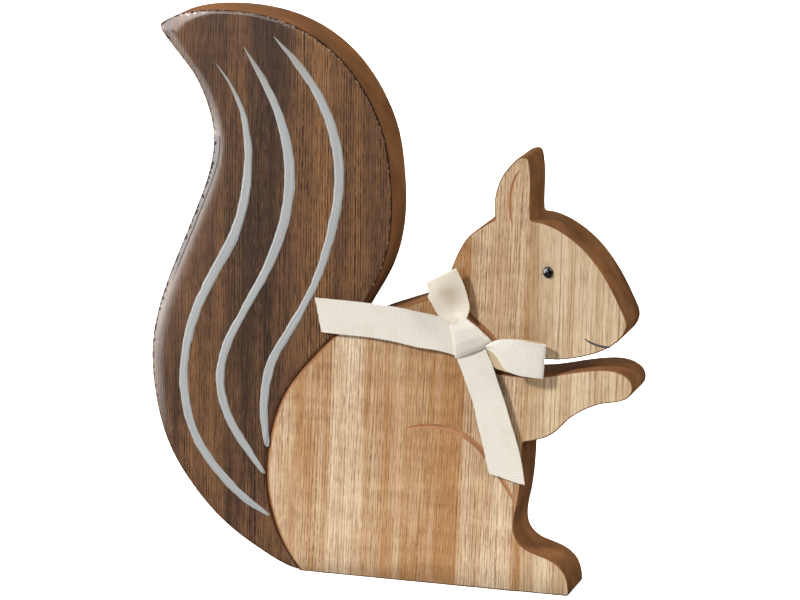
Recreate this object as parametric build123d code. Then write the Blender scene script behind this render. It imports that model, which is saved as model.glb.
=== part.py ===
"""A standing squirrel ornament in wood: a light sawn body, a dark coated tail and a tape bow round the neck.

Millimetres, +Z up, the front face towards -Y. The origin is on the resting face, midway between heel and toe
and midway through the boards.
"""
import os
from math import cos, pi, radians, sin

from build123d import *

# Main sizes, which every front-view spot below is fitted to
FIGURE_LENGTH = 190.5
FIGURE_HEIGHT = 216.5

# Boards
BOARD_THICKNESS = 20.0
CORNER_ROUND = 1.0
TOE_ROUND = 1.5
THROAT_ROUND = 2.0
GLUE_LINE = 0.1
HOLE_END_GAP = 1.0
JOINT_STATIONS = 16
JOINT_OVERRUN = 12.0

# Glue seam between the two staves of the light panel, leaning with the grain
SEAM_X = 33.8
SEAM_LEAN = 1.57

# Body outline, front view (x, z), clockwise from the heel
HEEL = (-54.5, 0)
HEEL_RUN = (-0.5, 0.87)
TAIL_ROOT = (-31.5, 99.6)
TAIL_ROOT_RUN = (0.89, 0.46)
HAUNCH = [(-61, 10.2), (-65, 20), (-67.2, 30), (-67.6, 40), (-66.6, 50), (-64.2, 60), (-60.2, 70),
          (-53.3, 80), (-45.6, 89), (-39.5, 94.6)]
BACK = [(-22, 104), (-13, 107.4), (-2.5, 111.9), (2, 115.2), (4.9, 119.6), (6.9, 125), (9.2, 130.4),
        (12.5, 135.8), (17, 139.8)]
EAR_LEFT = (23.3, 143.8)
EAR_RUN = (0.87, 0.5)
EAR = [(22.9, 149), (23.7, 154.6), (26, 160.3), (30, 165.5), (33.2, 167.9), (35.5, 167.8), (36.7, 165),
       (37.2, 160.5), (37.1, 152)]
EAR_RIGHT = (37.2, 144.2)
FACE = [(44, 143.1), (50.6, 140), (57.5, 134.8), (64, 127.4), (69.6, 118.3), (73, 111.4), (74.3, 107.4),
        (73.2, 103.3), (69.6, 99.4), (63.8, 95.9), (56.2, 93.3), (47.5, 91.7), (37, 92.3)]
THROAT_HIGH = (27.6, 96.4)
THROAT_LOW = (18.8, 86.4)
FOREARM = [(32, 84.4), (43, 85.2), (52, 87.2), (60.5, 88.9), (67.5, 89.5), (73.2, 88.2), (76.4, 85.3),
           (76.7, 81.6), (74.2, 78.6), (66.3, 76.4), (58.6, 73.4), (52, 68.8), (46.2, 63), (41, 60.4)]
ELBOW = (34.7, 58.7)
CHEST = [(34.4, 47), (33, 35.4), (31.5, 27), (32.2, 21.6), (35.6, 17.6), (41.5, 15.3), (47.4, 12.9),
         (51.4, 9), (53, 4)]
TOE = (53.2, 0)

# Tail outline, front view, from where it leaves the back up over the crest to the tip and down to the heel
TAIL_INSIDE = (-30, 84)
TAIL_RISE = [(-31.6, 101.5), (-27.6, 108.7), (-22.6, 117.8), (-18.8, 129), (-17.1, 143), (-17.6, 156),
             (-20, 171.5), (-25.8, 185.5), (-34.6, 198), (-46, 207.5), (-60.5, 213.9), (-77, 216.5),
             (-92, 216), (-102.5, 213.5)]
TAIL_TIP = (-109.3, 209.6)
TAIL_FALL = [(-102, 199.9), (-95.4, 191.6), (-90.4, 181), (-87.8, 169.5), (-89.2, 156.5), (-94.2, 142),
             (-103.6, 119.6), (-110.4, 101.5), (-113.8, 84), (-112.7, 65.5), (-107.4, 46), (-98, 30.6),
             (-84.5, 16.4), (-69, 6.2), (-57.4, 1)]
TAIL_END = (-46, 1)
TIP_ROUND = 1.8

# Gloss coat on the tail and the paint on it
COAT_THICKNESS = 1.5
STRIPE_FILM = 0.25
STRIPE_WIDTH = 3.5
STRIPE_TAPER = 0.3
STRIPE_STATIONS = 16
STRIPES = {
    "tail_stripe_outer": [(-86, 196.4), (-80.9, 189.6), (-76.1, 180), (-73.7, 167), (-74.3, 150.5), (-79.4, 131),
                          (-88, 115), (-95.2, 100), (-99.6, 84.5), (-100.3, 67), (-96.6, 51.8), (-87.4, 37.8),
                          (-76.2, 27.2), (-66.2, 21.3)],
    "tail_stripe_middle": [(-74.8, 203.2), (-69.3, 194.5), (-63.6, 184), (-59, 171), (-57, 155.5), (-59.2, 138),
                           (-66.5, 118.6), (-76, 101), (-83, 87.2), (-85.8, 72.5), (-82.2, 58.6), (-75, 47),
                           (-68, 37.8)],
    "tail_stripe_inner": [(-63, 207.9), (-56.1, 200.7), (-48.6, 191.3), (-42.3, 180), (-38.4, 167), (-37.6, 151.5),
                          (-41, 133), (-47.4, 114), (-56, 97.6), (-64.4, 83), (-67.9, 68), (-67.6, 53),
                          (-66.9, 48.4)],
}

# Dowels across the glue joint, at shares of the way up the haunch
DOWEL_DIAMETER = 6.0
DOWEL_LENGTH = 30.0
DOWEL_PLACES = [0.26, 0.62]
DOWEL_CLEARANCE = 0.1
DOWEL_CHAMFER = 0.6

# Carved grooves: path, width and depth of a V cut that runs out to nothing at its ends
GROOVES = [
    ([(32.9, 162.9), (30.9, 159.6), (29.5, 154), (29.3, 148), (30.1, 142)], 1.3, 0.8),
    ([(3, 116.5), (8.5, 110.8), (13.8, 105.6), (18.6, 101.8), (24.5, 97.2)], 3.0, 1.6),
    ([(-12, 60), (-5, 61.8), (3, 62.1), (11, 60), (18, 55), (24.5, 47), (29.5, 38.8), (33.4, 33.5)], 2.4, 1.4),
]
GROOVE_STATIONS = 9
GROOVE_END = 0.12
JOINT_GROOVE_WIDTH = 3.2
JOINT_GROOVE_DEPTH = 1.5

# Eye and mouth
EYE_CENTRE = (43.9, 125)
EYE_WIDTH = 4.0
EYE_HEIGHT = 4.4
EYE_DOME = 1.4
EYE_STEM = 1.6
EYE_STEM_LENGTH = 6.0
EYE_CLEARANCE = 0.1
MOUTH = [(58.1, 100.7), (60.6, 99.4), (63.5, 98.5), (67.6, 98.1)]
MOUTH_WIDTH = 0.6
MOUTH_TAPER = 0.5
MOUTH_FILM = 0.15

# Tape of the bow: it is drawn in to a band round the neck, and lies in stretches about the knot
TAPE_WIDTH = 12.8
TAPE_THICKNESS = 0.5
TAPE_GAP = 0.3
TAPE_STATIONS = 24
BAND_WIDTH = 8.0
BAND_BEND = 1.2
NAPE = (1.0, 115.5)
THROAT = (23.2, 91.4)
KNOT = [(7.2, 103), (14, 106.2), (23.2, 97.8), (20.7, 95.3), (11.6, 91.2), (7.4, 93)]
KNOT_HEIGHT = 5.0
KNOT_ROUND = 1.2
PINCH_WIDTH = 6.0
PINCH_RUN = 8.0

# Stretches of the tape: where each starts and ends in the front view, its path as (run, height), and the slant
# of a loose end's cut
LOOPS = {
    "ribbon_right_loop": ((21.2, 95.8), (43.8, 92),
                          [(0.5, 4.2), (6, 6.2), (13, 6.3), (19.5, 5.2), (22.6, 3.6), (20, 1.9), (13, 1.4),
                           (6, 1.8), (1.5, 2.6)]),
    "ribbon_upper_loop": ((9.8, 104.6), (3.6, 121.9),
                          [(0.5, 4.4), (5, 6.2), (11, 6.3), (16, 5.2), (18.4, 3.8), (16, 2.4), (10, 2.2),
                           (4, 2.7), (1.5, 3)]),
}
TAILS = {
    "ribbon_left_tail": ((7, 98), (-45.7, 102.3), [(0, 1.5), (12, 1.8), (30, 1.5), (60, 1)], -15.0),
    "ribbon_lower_tail": ((15.8, 93), (28.9, 44.1), [(0, 1.5), (10, 2.2), (30, 2.4), (60, 1)], 32.0),
}

WIDER = FIGURE_LENGTH / (max(FOREARM)[0] - min(TAIL_FALL)[0])
TALLER = FIGURE_HEIGHT / max(z for x, z in TAIL_RISE)
FRONT = Plane.XZ.offset(BOARD_THICKNESS / 2)
REAR = Plane.XZ.offset(-BOARD_THICKNESS / 2)
FORWARD = Vector(0, -1, 0)
CORNERS = [
    (EAR_LEFT, CORNER_ROUND),
    (EAR_RIGHT, CORNER_ROUND),
    (ELBOW, CORNER_ROUND),
    (THROAT_HIGH, THROAT_ROUND),
    (THROAT_LOW, THROAT_ROUND),
    (TOE, TOE_ROUND),
]


def fitted(spot):
    """A front-view spot as drawn above, fitted to the ornament's length and height."""
    return (spot[0] * WIDER, spot[1] * TALLER)


def curve(*spots, **ends):
    """A flat curve through front-view spots."""
    return Spline(*[fitted(spot) for spot in spots], **ends)


def outline(spots):
    """A flat face with straight sides between front-view spots."""
    return make_face(Polyline(*[fitted(spot) for spot in spots], close=True))


def front_point(spot):
    """The point of the boards' front at a front-view spot."""
    return FRONT.from_local_coords(fitted(spot))


def direction(start, end):
    """The run from one front-view spot to another, as a unit vector of the model."""
    return (front_point(end) - front_point(start)).normalized()


def offset_line(line, distance, stations):
    """Points beside a flat curve, a distance to the left of its run."""
    points = []
    for station in range(stations + 1):
        along = line % (station / stations)
        points.append(line @ (station / stations) + Vector(-along.Y, along.X) * distance)
    return points


def haunch_line():
    """The curve where the tail is glued to the body, from the heel up to the root of the tail."""
    return curve(HEEL, *HAUNCH, TAIL_ROOT, tangents=[HEEL_RUN, TAIL_ROOT_RUN])


def body_face():
    """Outline of the light panel as a flat face, local x and y for the model's x and z."""
    back = curve(TAIL_ROOT, *BACK, EAR_LEFT, tangents=[TAIL_ROOT_RUN, EAR_RUN])
    ear = curve(EAR_LEFT, *EAR, EAR_RIGHT)
    face = curve(EAR_RIGHT, *FACE, THROAT_HIGH)
    throat = Line(fitted(THROAT_HIGH), fitted(THROAT_LOW))
    forearm = curve(THROAT_LOW, *FOREARM, ELBOW)
    chest = curve(ELBOW, *CHEST, TOE)
    base = Line(fitted(TOE), fitted(HEEL))
    return make_face(haunch_line() + back + ear + face + throat + forearm + chest + base)


def glue_side():
    """Flat region on the body's side of the glue joint, one glue line wider than the haunch."""
    joint = haunch_line()
    edge = offset_line(joint, GLUE_LINE, JOINT_STATIONS)
    below = edge[0] - (joint % 0) * JOINT_OVERRUN
    above = edge[-1] + (joint % 1) * JOINT_OVERRUN
    inside = Vector(above.X, below.Y)
    return make_face(Spline(*edge) + Polyline(edge[-1], above, inside, below, edge[0]))


def tail_face():
    """Outline of the tail, cut to the haunch with a glue line between."""
    rise = curve(TAIL_INSIDE, *TAIL_RISE, TAIL_TIP)
    fall = curve(TAIL_TIP, *TAIL_FALL, TAIL_END)
    whole = make_face(rise + fall + Line(fitted(TAIL_END), fitted(TAIL_INSIDE)))
    cut = whole - glue_side()
    return max(cut.faces(), key=lambda face: face.area)


def upright_edge(solid, corner):
    """The edge through the thickness of a board at a corner of its outline."""
    return solid.edges().filter_by(Axis.Y).sort_by_distance(front_point(corner))[0]


def carved_groove(line, width, depth, end_share):
    """A V cut in the front face along a flat curve, drawn in to a share of its size at both ends."""
    path = FRONT * line
    sections = []
    for station in range(GROOVE_STATIONS):
        share = station / (GROOVE_STATIONS - 1)
        swell = end_share + (1 - end_share) * sin(pi * share) ** 0.5
        bottom = (-depth * swell, 0)
        left = (depth * swell, width * swell)
        right = (depth * swell, -width * swell)
        section_plane = Plane(origin=path @ share, x_dir=FORWARD, z_dir=path % share)
        sections.append(section_plane * make_face(Polyline(bottom, left, right, close=True)))
    return loft(sections)


def brush_stroke(path, width, taper):
    """Outline of a paint stroke: a point at its start that swells over the taper, and a round end."""
    line = curve(*path)
    left = [line @ 0]
    right = [line @ 0]
    straight = 1 - width / 2 / line.length
    for station in range(1, STRIPE_STATIONS + 1):
        share = straight * station / STRIPE_STATIONS
        half = width / 2 * sin(min(share / taper, 1) * pi / 2)
        along = line % share
        left.append(line @ share + Vector(-along.Y, along.X) * half)
        right.append(line @ share - Vector(-along.Y, along.X) * half)
    return make_face(Spline(*left) + Spline(*right) + ThreePointArc(left[-1], line @ 1, right[-1]))


def dowel_planes():
    """Where each dowel crosses the glue joint, its axis square to the joint, halfway through the boards."""
    joint = haunch_line()
    planes = []
    for share in DOWEL_PLACES:
        spot = joint @ share
        along = joint % share
        planes.append(Plane(origin=(spot.X, 0, spot.Y), z_dir=(-along.Y, 0, along.X)))
    return planes


def dowel_holes():
    """Room for the dowels in both boards."""
    room = Cylinder(DOWEL_DIAMETER / 2 + DOWEL_CLEARANCE, DOWEL_LENGTH + 2 * HOLE_END_GAP)
    return [plane * room for plane in dowel_planes()]


def dowels():
    """The dowels across the glue joint, with chamfered ends."""
    dowel = Cylinder(DOWEL_DIAMETER / 2, DOWEL_LENGTH)
    dowel = chamfer(dowel.edges().filter_by(GeomType.CIRCLE), DOWEL_CHAMFER)
    return [plane * dowel for plane in dowel_planes()]


def eye_stem(radius, length):
    """A round pin into the head from the middle of the eye."""
    middle = Plane(origin=front_point(EYE_CENTRE), z_dir=-FORWARD)
    return middle * Cylinder(radius, length, align=(Align.CENTER, Align.CENTER, Align.MIN))


def eye_bead():
    """The domed black eye on its stem."""
    bead = scale(Sphere(1), by=(EYE_WIDTH / 2, EYE_DOME, EYE_HEIGHT / 2))
    dome = split(Pos(front_point(EYE_CENTRE)) * bead, bisect_by=FRONT, keep=Keep.TOP)
    return dome + eye_stem(EYE_STEM / 2, EYE_STEM_LENGTH)


def light_panel():
    """The whole light panel, with its grooves and holes, before it is parted at the glue seam."""
    panel = extrude(REAR * body_face(), amount=BOARD_THICKNESS, dir=FORWARD)
    for corner, radius in CORNERS:
        panel = fillet(upright_edge(panel, corner), radius)
    for path, width, depth in GROOVES:
        panel -= carved_groove(curve(*path), width, depth, GROOVE_END)
    panel -= carved_groove(haunch_line(), JOINT_GROOVE_WIDTH, JOINT_GROOVE_DEPTH, 1.0)
    for hole in dowel_holes():
        panel -= hole
    return panel - eye_stem(EYE_STEM / 2 + EYE_CLEARANCE, EYE_STEM_LENGTH + HOLE_END_GAP)


def staves():
    """The light panel parted at the glue seam: the main stave, and the second one by its three stretches.

    The second stave parts in the open air under the chin and at the hollow of the chest.
    """
    panel = light_panel()
    lean = radians(SEAM_LEAN)
    seam = Plane(origin=(SEAM_X * WIDER, 0, 0), x_dir=FORWARD, z_dir=(cos(lean), 0, -sin(lean)))
    second = split(panel, bisect_by=seam, keep=Keep.TOP)
    under_chin = (max(z for x, z in FOREARM) + min(z for x, z in FACE)) / 2
    slot = Plane.XY.offset(under_chin * TALLER)
    chest = Plane.XY.offset(min(CHEST)[1] * TALLER)
    lower = split(second, bisect_by=slot, keep=Keep.BOTTOM)
    return {
        "body_board": split(panel, bisect_by=seam, keep=Keep.BOTTOM),
        "muzzle_stave": split(second, bisect_by=slot, keep=Keep.TOP),
        "forearm_stave": split(lower, bisect_by=chest, keep=Keep.TOP),
        "toe_stave": split(lower, bisect_by=chest, keep=Keep.BOTTOM),
    }


def tail_board():
    """The stained tail behind the coat, with room for the dowels."""
    board = extrude(REAR * tail_face(), amount=BOARD_THICKNESS - COAT_THICKNESS, dir=FORWARD)
    board = fillet(upright_edge(board, TAIL_TIP), TIP_ROUND)
    for hole in dowel_holes():
        board -= hole
    return board


def tail_coat():
    """The gloss coat over the front of the tail."""
    coat = extrude(FRONT.offset(-COAT_THICKNESS) * tail_face(), amount=COAT_THICKNESS, dir=FORWARD)
    return fillet(upright_edge(coat, TAIL_TIP), TIP_ROUND)


def paint_film(stroke, film):
    """A layer of paint on the front face."""
    return extrude(FRONT * stroke, amount=film, dir=FORWARD)


def neck_band():
    """The tape round the neck, fitted to the neck's own section along the line from nape to throat."""
    run = direction(NAPE, THROAT)
    middle = (Vector(*fitted(NAPE)) + Vector(*fitted(THROAT))) / 2
    across = Plane(origin=middle, x_dir=(run.X, run.Z), z_dir=(0, 0, 1))
    crossing = body_face() & (across * Rectangle(FIGURE_LENGTH, BAND_WIDTH))
    neck = crossing.faces().sort_by_distance(across.origin)[0]
    span = across.to_local_coords(neck).bounding_box()
    length = span.size.X + 2 * TAPE_GAP
    depth = BOARD_THICKNESS + 2 * TAPE_GAP
    ring = RectangleRounded(length + 2 * TAPE_THICKNESS, depth + 2 * TAPE_THICKNESS, BAND_BEND)
    ring -= RectangleRounded(length, depth, BAND_BEND - TAPE_THICKNESS)
    middle = across.from_local_coords(span.center())
    section = Plane(origin=(middle.X, 0, middle.Y), x_dir=run, z_dir=run.cross(FORWARD))
    return extrude(section * ring, amount=BAND_WIDTH / 2, both=True)


def knot_seat():
    """The plane of the knot's underside, in front of the neck band."""
    return FRONT.offset(TAPE_THICKNESS + 2 * TAPE_GAP)


def knot():
    """The knot, a soft block over the neck band."""
    block = extrude(knot_seat() * outline(KNOT), amount=KNOT_HEIGHT, dir=FORWARD)
    return fillet(block.edges(), KNOT_ROUND)


def knot_room():
    """The knot's column with a gap all round, which the loops and tails stop at."""
    return extrude(FRONT * offset(outline(KNOT), amount=TAPE_GAP), amount=2 * KNOT_HEIGHT, dir=FORWARD)


def tape_strip(start, end, path):
    """A stretch of tape at its full width, which follows a path of (run, height) from start towards end."""
    run = direction(start, end)
    plane = Plane(origin=front_point(start), x_dir=run, z_dir=run.cross(FORWARD))
    line = Spline(*path)
    upper = offset_line(line, TAPE_THICKNESS / 2, TAPE_STATIONS)
    lower = offset_line(line, -TAPE_THICKNESS / 2, TAPE_STATIONS)
    sides = Spline(*upper) + Spline(*lower)
    ends = Line(upper[0], lower[0]) + Line(upper[-1], lower[-1])
    return extrude(plane * make_face(sides + ends), amount=TAPE_WIDTH / 2, both=True)


def tape_loop(start, end, path):
    """A loop of the bow, drawn in to the pinch width where it meets the knot."""
    run = direction(start, end)
    plan = Plane(origin=front_point(start), x_dir=run, z_dir=FORWARD)
    far = max(path)[0] + TAPE_WIDTH
    pinch = Polyline((0, PINCH_WIDTH / 2), (PINCH_RUN, TAPE_WIDTH / 2), (far, TAPE_WIDTH / 2),
                     (far, -TAPE_WIDTH / 2), (PINCH_RUN, -TAPE_WIDTH / 2), (0, -PINCH_WIDTH / 2), close=True)
    room = extrude(plan * make_face(pinch), amount=2 * KNOT_HEIGHT, dir=FORWARD)
    return (tape_strip(start, end, path) & room) - knot_room()


def tape_tail(start, end, path, slant):
    """A loose end of the bow, cut off at a slant."""
    run = direction(start, end)
    cut = Plane(origin=front_point(end), x_dir=FORWARD, z_dir=run.rotate(Axis.Y, slant))
    return split(tape_strip(start, end, path), bisect_by=cut, keep=Keep.BOTTOM) - knot_room()


def pieces():
    """Every piece of the ornament by its node's name."""
    parts = staves()
    parts["tail_board"] = tail_board()
    parts["tail_coat"] = tail_coat()
    for name, path in STRIPES.items():
        parts[name] = paint_film(brush_stroke(path, STRIPE_WIDTH, STRIPE_TAPER) & tail_face(), STRIPE_FILM)
    for number, dowel in enumerate(dowels(), start=1):
        parts[f"tail_dowel_{number}"] = dowel
    parts["eye_bead"] = eye_bead()
    parts["mouth_line"] = paint_film(brush_stroke(MOUTH, MOUTH_WIDTH, MOUTH_TAPER), MOUTH_FILM)
    parts["ribbon_neck_band"] = neck_band()
    parts["ribbon_knot"] = knot()
    for name, (start, end, path) in LOOPS.items():
        parts[name] = tape_loop(start, end, path)
    for name, (start, end, path, slant) in TAILS.items():
        parts[name] = tape_tail(start, end, path, slant)
    return parts


if __name__ == "__main__":
    os.makedirs("parts", exist_ok=True)
    for name, piece in pieces().items():
        export_step(piece, f"parts/{name}.step")
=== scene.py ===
"""Dresses a standing squirrel ornament: sawn light wood, a coated dark tail, stripes and a tape bow.

Metres, +Z up, the front towards -Y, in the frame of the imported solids.
"""
from __future__ import annotations

import logging
import math
from contextlib import contextmanager
from dataclasses import dataclass, field
from enum import Enum, IntEnum
from typing import Callable, Iterator, Sequence

import bmesh
import bpy
import numpy as np
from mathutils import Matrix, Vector, geometry, noise

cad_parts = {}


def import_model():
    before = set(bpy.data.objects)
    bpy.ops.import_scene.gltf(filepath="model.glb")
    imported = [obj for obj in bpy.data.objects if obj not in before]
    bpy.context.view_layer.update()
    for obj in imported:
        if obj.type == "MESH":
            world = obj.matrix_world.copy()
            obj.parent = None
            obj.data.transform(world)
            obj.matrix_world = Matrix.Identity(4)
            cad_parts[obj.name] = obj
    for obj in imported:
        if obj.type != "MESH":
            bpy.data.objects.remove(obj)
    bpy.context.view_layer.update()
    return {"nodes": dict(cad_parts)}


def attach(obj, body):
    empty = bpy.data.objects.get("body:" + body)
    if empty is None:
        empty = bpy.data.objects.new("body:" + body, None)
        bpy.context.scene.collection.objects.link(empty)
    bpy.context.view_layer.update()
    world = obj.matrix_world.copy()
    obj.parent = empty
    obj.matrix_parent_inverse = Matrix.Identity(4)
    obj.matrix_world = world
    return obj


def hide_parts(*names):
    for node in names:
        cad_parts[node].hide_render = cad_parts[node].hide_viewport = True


LOG = logging.getLogger("squirrel_ornament")
MM = 0.001
FRONT = -10 * MM
WHOLE_TURN = 2 * math.pi
WHITE = (1.0, 1.0, 1.0, 1.0)

Colour = tuple[float, float, float, float]
Spot = tuple[float, float]
Triple = tuple[float, float, float]
Socket = bpy.types.NodeSocket
Material = bpy.types.Material
Piece = bpy.types.Object
Nodes = dict[str, Piece]
Place = Callable[[np.ndarray, np.ndarray], np.ndarray]
Surface = Callable[[np.ndarray, np.ndarray], tuple[np.ndarray, np.ndarray]]


class Blend(Enum):
    """Ways in which one colour goes over another."""

    PLAIN = "MIX"
    LIFT = "SOFT_LIGHT"


class Hold(Enum):
    """Ways in which a stretch of the tape is held."""

    LAID = "laid"
    FOLDED = "folded"
    GATHERED = "gathered"


class BoardSlot(IntEnum):
    """Finishes of a sawn board."""

    FACE = 0
    EDGE = 1
    GROOVE = 2
    JOINT = 3


class CoatSlot(IntEnum):
    """Finishes of the tail's gloss coat."""

    WOOD = 0
    # The upright edge, also laid as a painted dark reflection line along the front edge.
    WALL = 1
    SEAM = 2
    CHIP = 3


def tone(red: int, green: int, blue: int) -> Colour:
    """Linear colour of a display colour.

    Args:
        red: Red in steps of 255.
        green: Green in steps of 255.
        blue: Blue in steps of 255.

    Returns:
        The colour as a shader takes it.
    """
    shares = [step / 255 for step in (red, green, blue)]
    lines = [share / 12.92 if share <= 0.04045 else ((share + 0.055) / 1.055) ** 2.4 for share in shares]
    return (*lines, 1.0)


class Graph:
    """Node graph of one material, built up step by step towards its shader."""

    def __init__(self, name: str) -> None:
        """Start a material with a bare shader.

        Args:
            name: The material's name.
        """
        self.material = bpy.data.materials.new(name)
        self.material.use_nodes = True
        self.nodes = self.material.node_tree.nodes
        self.links = self.material.node_tree.links
        self.shader = self.nodes["Principled BSDF"]

    def feed(self, socket: Socket, value: object) -> None:
        """Give a socket its value, from another node or as it is.

        Args:
            socket: The input to set.
            value: An output socket, a number or a colour.
        """
        if isinstance(value, Socket):
            self.links.new(value, socket)
        else:
            socket.default_value = value

    def fill(self, node: bpy.types.Node, values: dict[str, object]) -> None:
        """Set a node's inputs.

        Args:
            node: The node.
            values: Sockets, numbers or colours by the inputs' names, with underscores for spaces.
        """
        for name, value in values.items():
            self.feed(node.inputs[name.replace("_", " ")], value)

    def set(self, **values: object) -> None:
        """Set the shader's inputs by their names."""
        self.fill(self.shader, values)

    def node(self, kind: str, **values: object) -> bpy.types.Node:
        """Add a node and set its inputs.

        Args:
            kind: The node's kind.
            **values: Its inputs by their names.

        Returns:
            The node.
        """
        node = self.nodes.new(f"ShaderNode{kind}")
        self.fill(node, values)
        return node

    def turned(self, lean: float) -> Socket:
        """Object coordinates turned about the depth, so that the grain's run is upright.

        Args:
            lean: Degrees that the grain leans to the right.

        Returns:
            The turned coordinates in metres.
        """
        turn = (0.0, math.radians(-lean), 0.0)
        places = self.node("TexCoord").outputs["Object"]
        return self.node("Mapping", Vector=places, Rotation=turn).outputs[0]

    def surface(self) -> Socket:
        """The piece's own flat coordinates, in metres."""
        return self.node("TexCoord").outputs["UV"]

    def cloud(self, vector: Socket, scale: Triple, detail: float = 2.0, roughness: float = 0.5,
              output: str = "Fac") -> Socket:
        """A soft random pattern.

        Args:
            vector: Coordinates in metres.
            scale: Features per metre along each axis.
            detail: Steps of finer detail.
            roughness: How strong the finer steps are.
            output: Fac for one pattern, Color for three at once.

        Returns:
            The pattern, from 0 to 1 about a half.
        """
        places = self.node("Mapping", Vector=vector, Scale=scale).outputs[0]
        pattern = self.node("TexNoise", Vector=places, Scale=1.0, Detail=detail, Roughness=roughness)
        return pattern.outputs[output]

    def wandering(self, vector: Socket, scale: Triple, reach: float) -> Socket:
        """Coordinates that wander to and fro, so that straight lines come out slightly wavy.

        Args:
            vector: The coordinates in metres.
            scale: Features per metre of the wander along each axis.
            reach: How far the lines wander, in metres.

        Returns:
            The moved coordinates in metres.
        """
        centred = self.node("VectorMath")
        centred.operation = "SUBTRACT"
        self.feed(centred.inputs[0], self.cloud(vector, scale, 1.0, output="Color"))
        self.feed(centred.inputs[1], (0.5, 0.5, 0.5))
        moved = self.node("VectorMath")
        moved.operation = "MULTIPLY_ADD"
        for socket, value in zip(moved.inputs, (centred.outputs[0], (reach * 2, reach * 2, 0.0), vector)):
            self.feed(socket, value)
        return moved.outputs[0]

    def ramp(self, factor: Socket, stops: Sequence[tuple[float, Colour]]) -> Socket:
        """Colours along a number.

        Args:
            factor: The number, from 0 to 1.
            stops: Places and their colours, in order.

        Returns:
            The colour.
        """
        node = self.node("ValToRGB", Fac=factor)
        elements = node.color_ramp.elements
        elements[0].position, elements[0].color = stops[0]
        elements[1].position, elements[1].color = stops[-1]
        for position, colour in stops[1:-1]:
            elements.new(position).color = colour
        return node.outputs["Color"]

    def gate(self, factor: Socket, low: float, high: float, start: float = 0.0, end: float = 1.0,
             smooth: bool = True) -> Socket:
        """A number brought from one range to another and held at its ends.

        Args:
            factor: The number.
            low: Where the new range starts.
            high: Where it ends.
            start: The value at the low end.
            end: The value at the high end.
            smooth: Whether it eases in and out.

        Returns:
            The new number.
        """
        node = self.node("MapRange", Value=factor, From_Min=low, From_Max=high, To_Min=start, To_Max=end)
        node.interpolation_type = "SMOOTHSTEP" if smooth else "LINEAR"
        return node.outputs["Result"]

    def bell(self, factor: Socket, middle: float, half: float) -> Socket:
        """A soft rise and fall of a number about a middle.

        Args:
            factor: The number.
            middle: Where the bell is highest.
            half: How far it reaches to each side.

        Returns:
            The height, from 0 to 1.
        """
        rise = self.gate(factor, middle - half, middle)
        return self.times(rise, self.gate(factor, middle + half, middle))

    def reckon(self, operation: str, *numbers: object) -> Socket:
        """One step of arithmetic.

        Args:
            operation: The step's name on its node.
            *numbers: Sockets or numbers.

        Returns:
            The result.
        """
        node = self.node("Math")
        node.operation = operation
        for socket, number in zip(node.inputs, numbers):
            self.feed(socket, number)
        return node.outputs[0]

    def times(self, first: object, second: object) -> Socket:
        """One number times another."""
        return self.reckon("MULTIPLY", first, second)

    def plus(self, first: object, second: object) -> Socket:
        """One number plus another."""
        return self.reckon("ADD", first, second)

    def part(self, vector: Socket, axis: str) -> Socket:
        """One axis of a vector, as a number."""
        return self.node("SeparateXYZ", Vector=vector).outputs[axis]

    def over(self, factor: object, below: object, above: object, blend: Blend = Blend.PLAIN) -> Socket:
        """One colour over another.

        Args:
            factor: How much of the upper one shows.
            below: The lower colour.
            above: The upper colour.
            blend: How they go together.

        Returns:
            The colour.
        """
        node = self.node("Mix")
        node.data_type = "RGBA"
        node.blend_type = blend.value
        node.clamp_factor = True
        for index, value in ((0, factor), (6, below), (7, above)):
            self.feed(node.inputs[index], value)
        return node.outputs[2]

    def relief(self, height: Socket, strength: float, depth: float) -> None:
        """Fine relief on the surface.

        Args:
            height: The height pattern.
            strength: How strong it is.
            depth: The depth that a height of 1 stands for, in metres.
        """
        bump = self.node("Bump", Height=height, Strength=strength, Distance=depth)
        self.set(Normal=bump.outputs["Normal"])


@dataclass(frozen=True)
class Finish:
    """A finish that gives one material.

    Attributes:
        name: The material's name.
    """

    name: str

    def make(self) -> Material:
        """Build the material.

        Returns:
            The material.
        """
        graph = Graph(self.name)
        self.paint(graph)
        return graph.material

    def paint(self, graph: Graph) -> None:
        """Build up colour, relief and shine in the material's graph."""
        raise NotImplementedError


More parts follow.
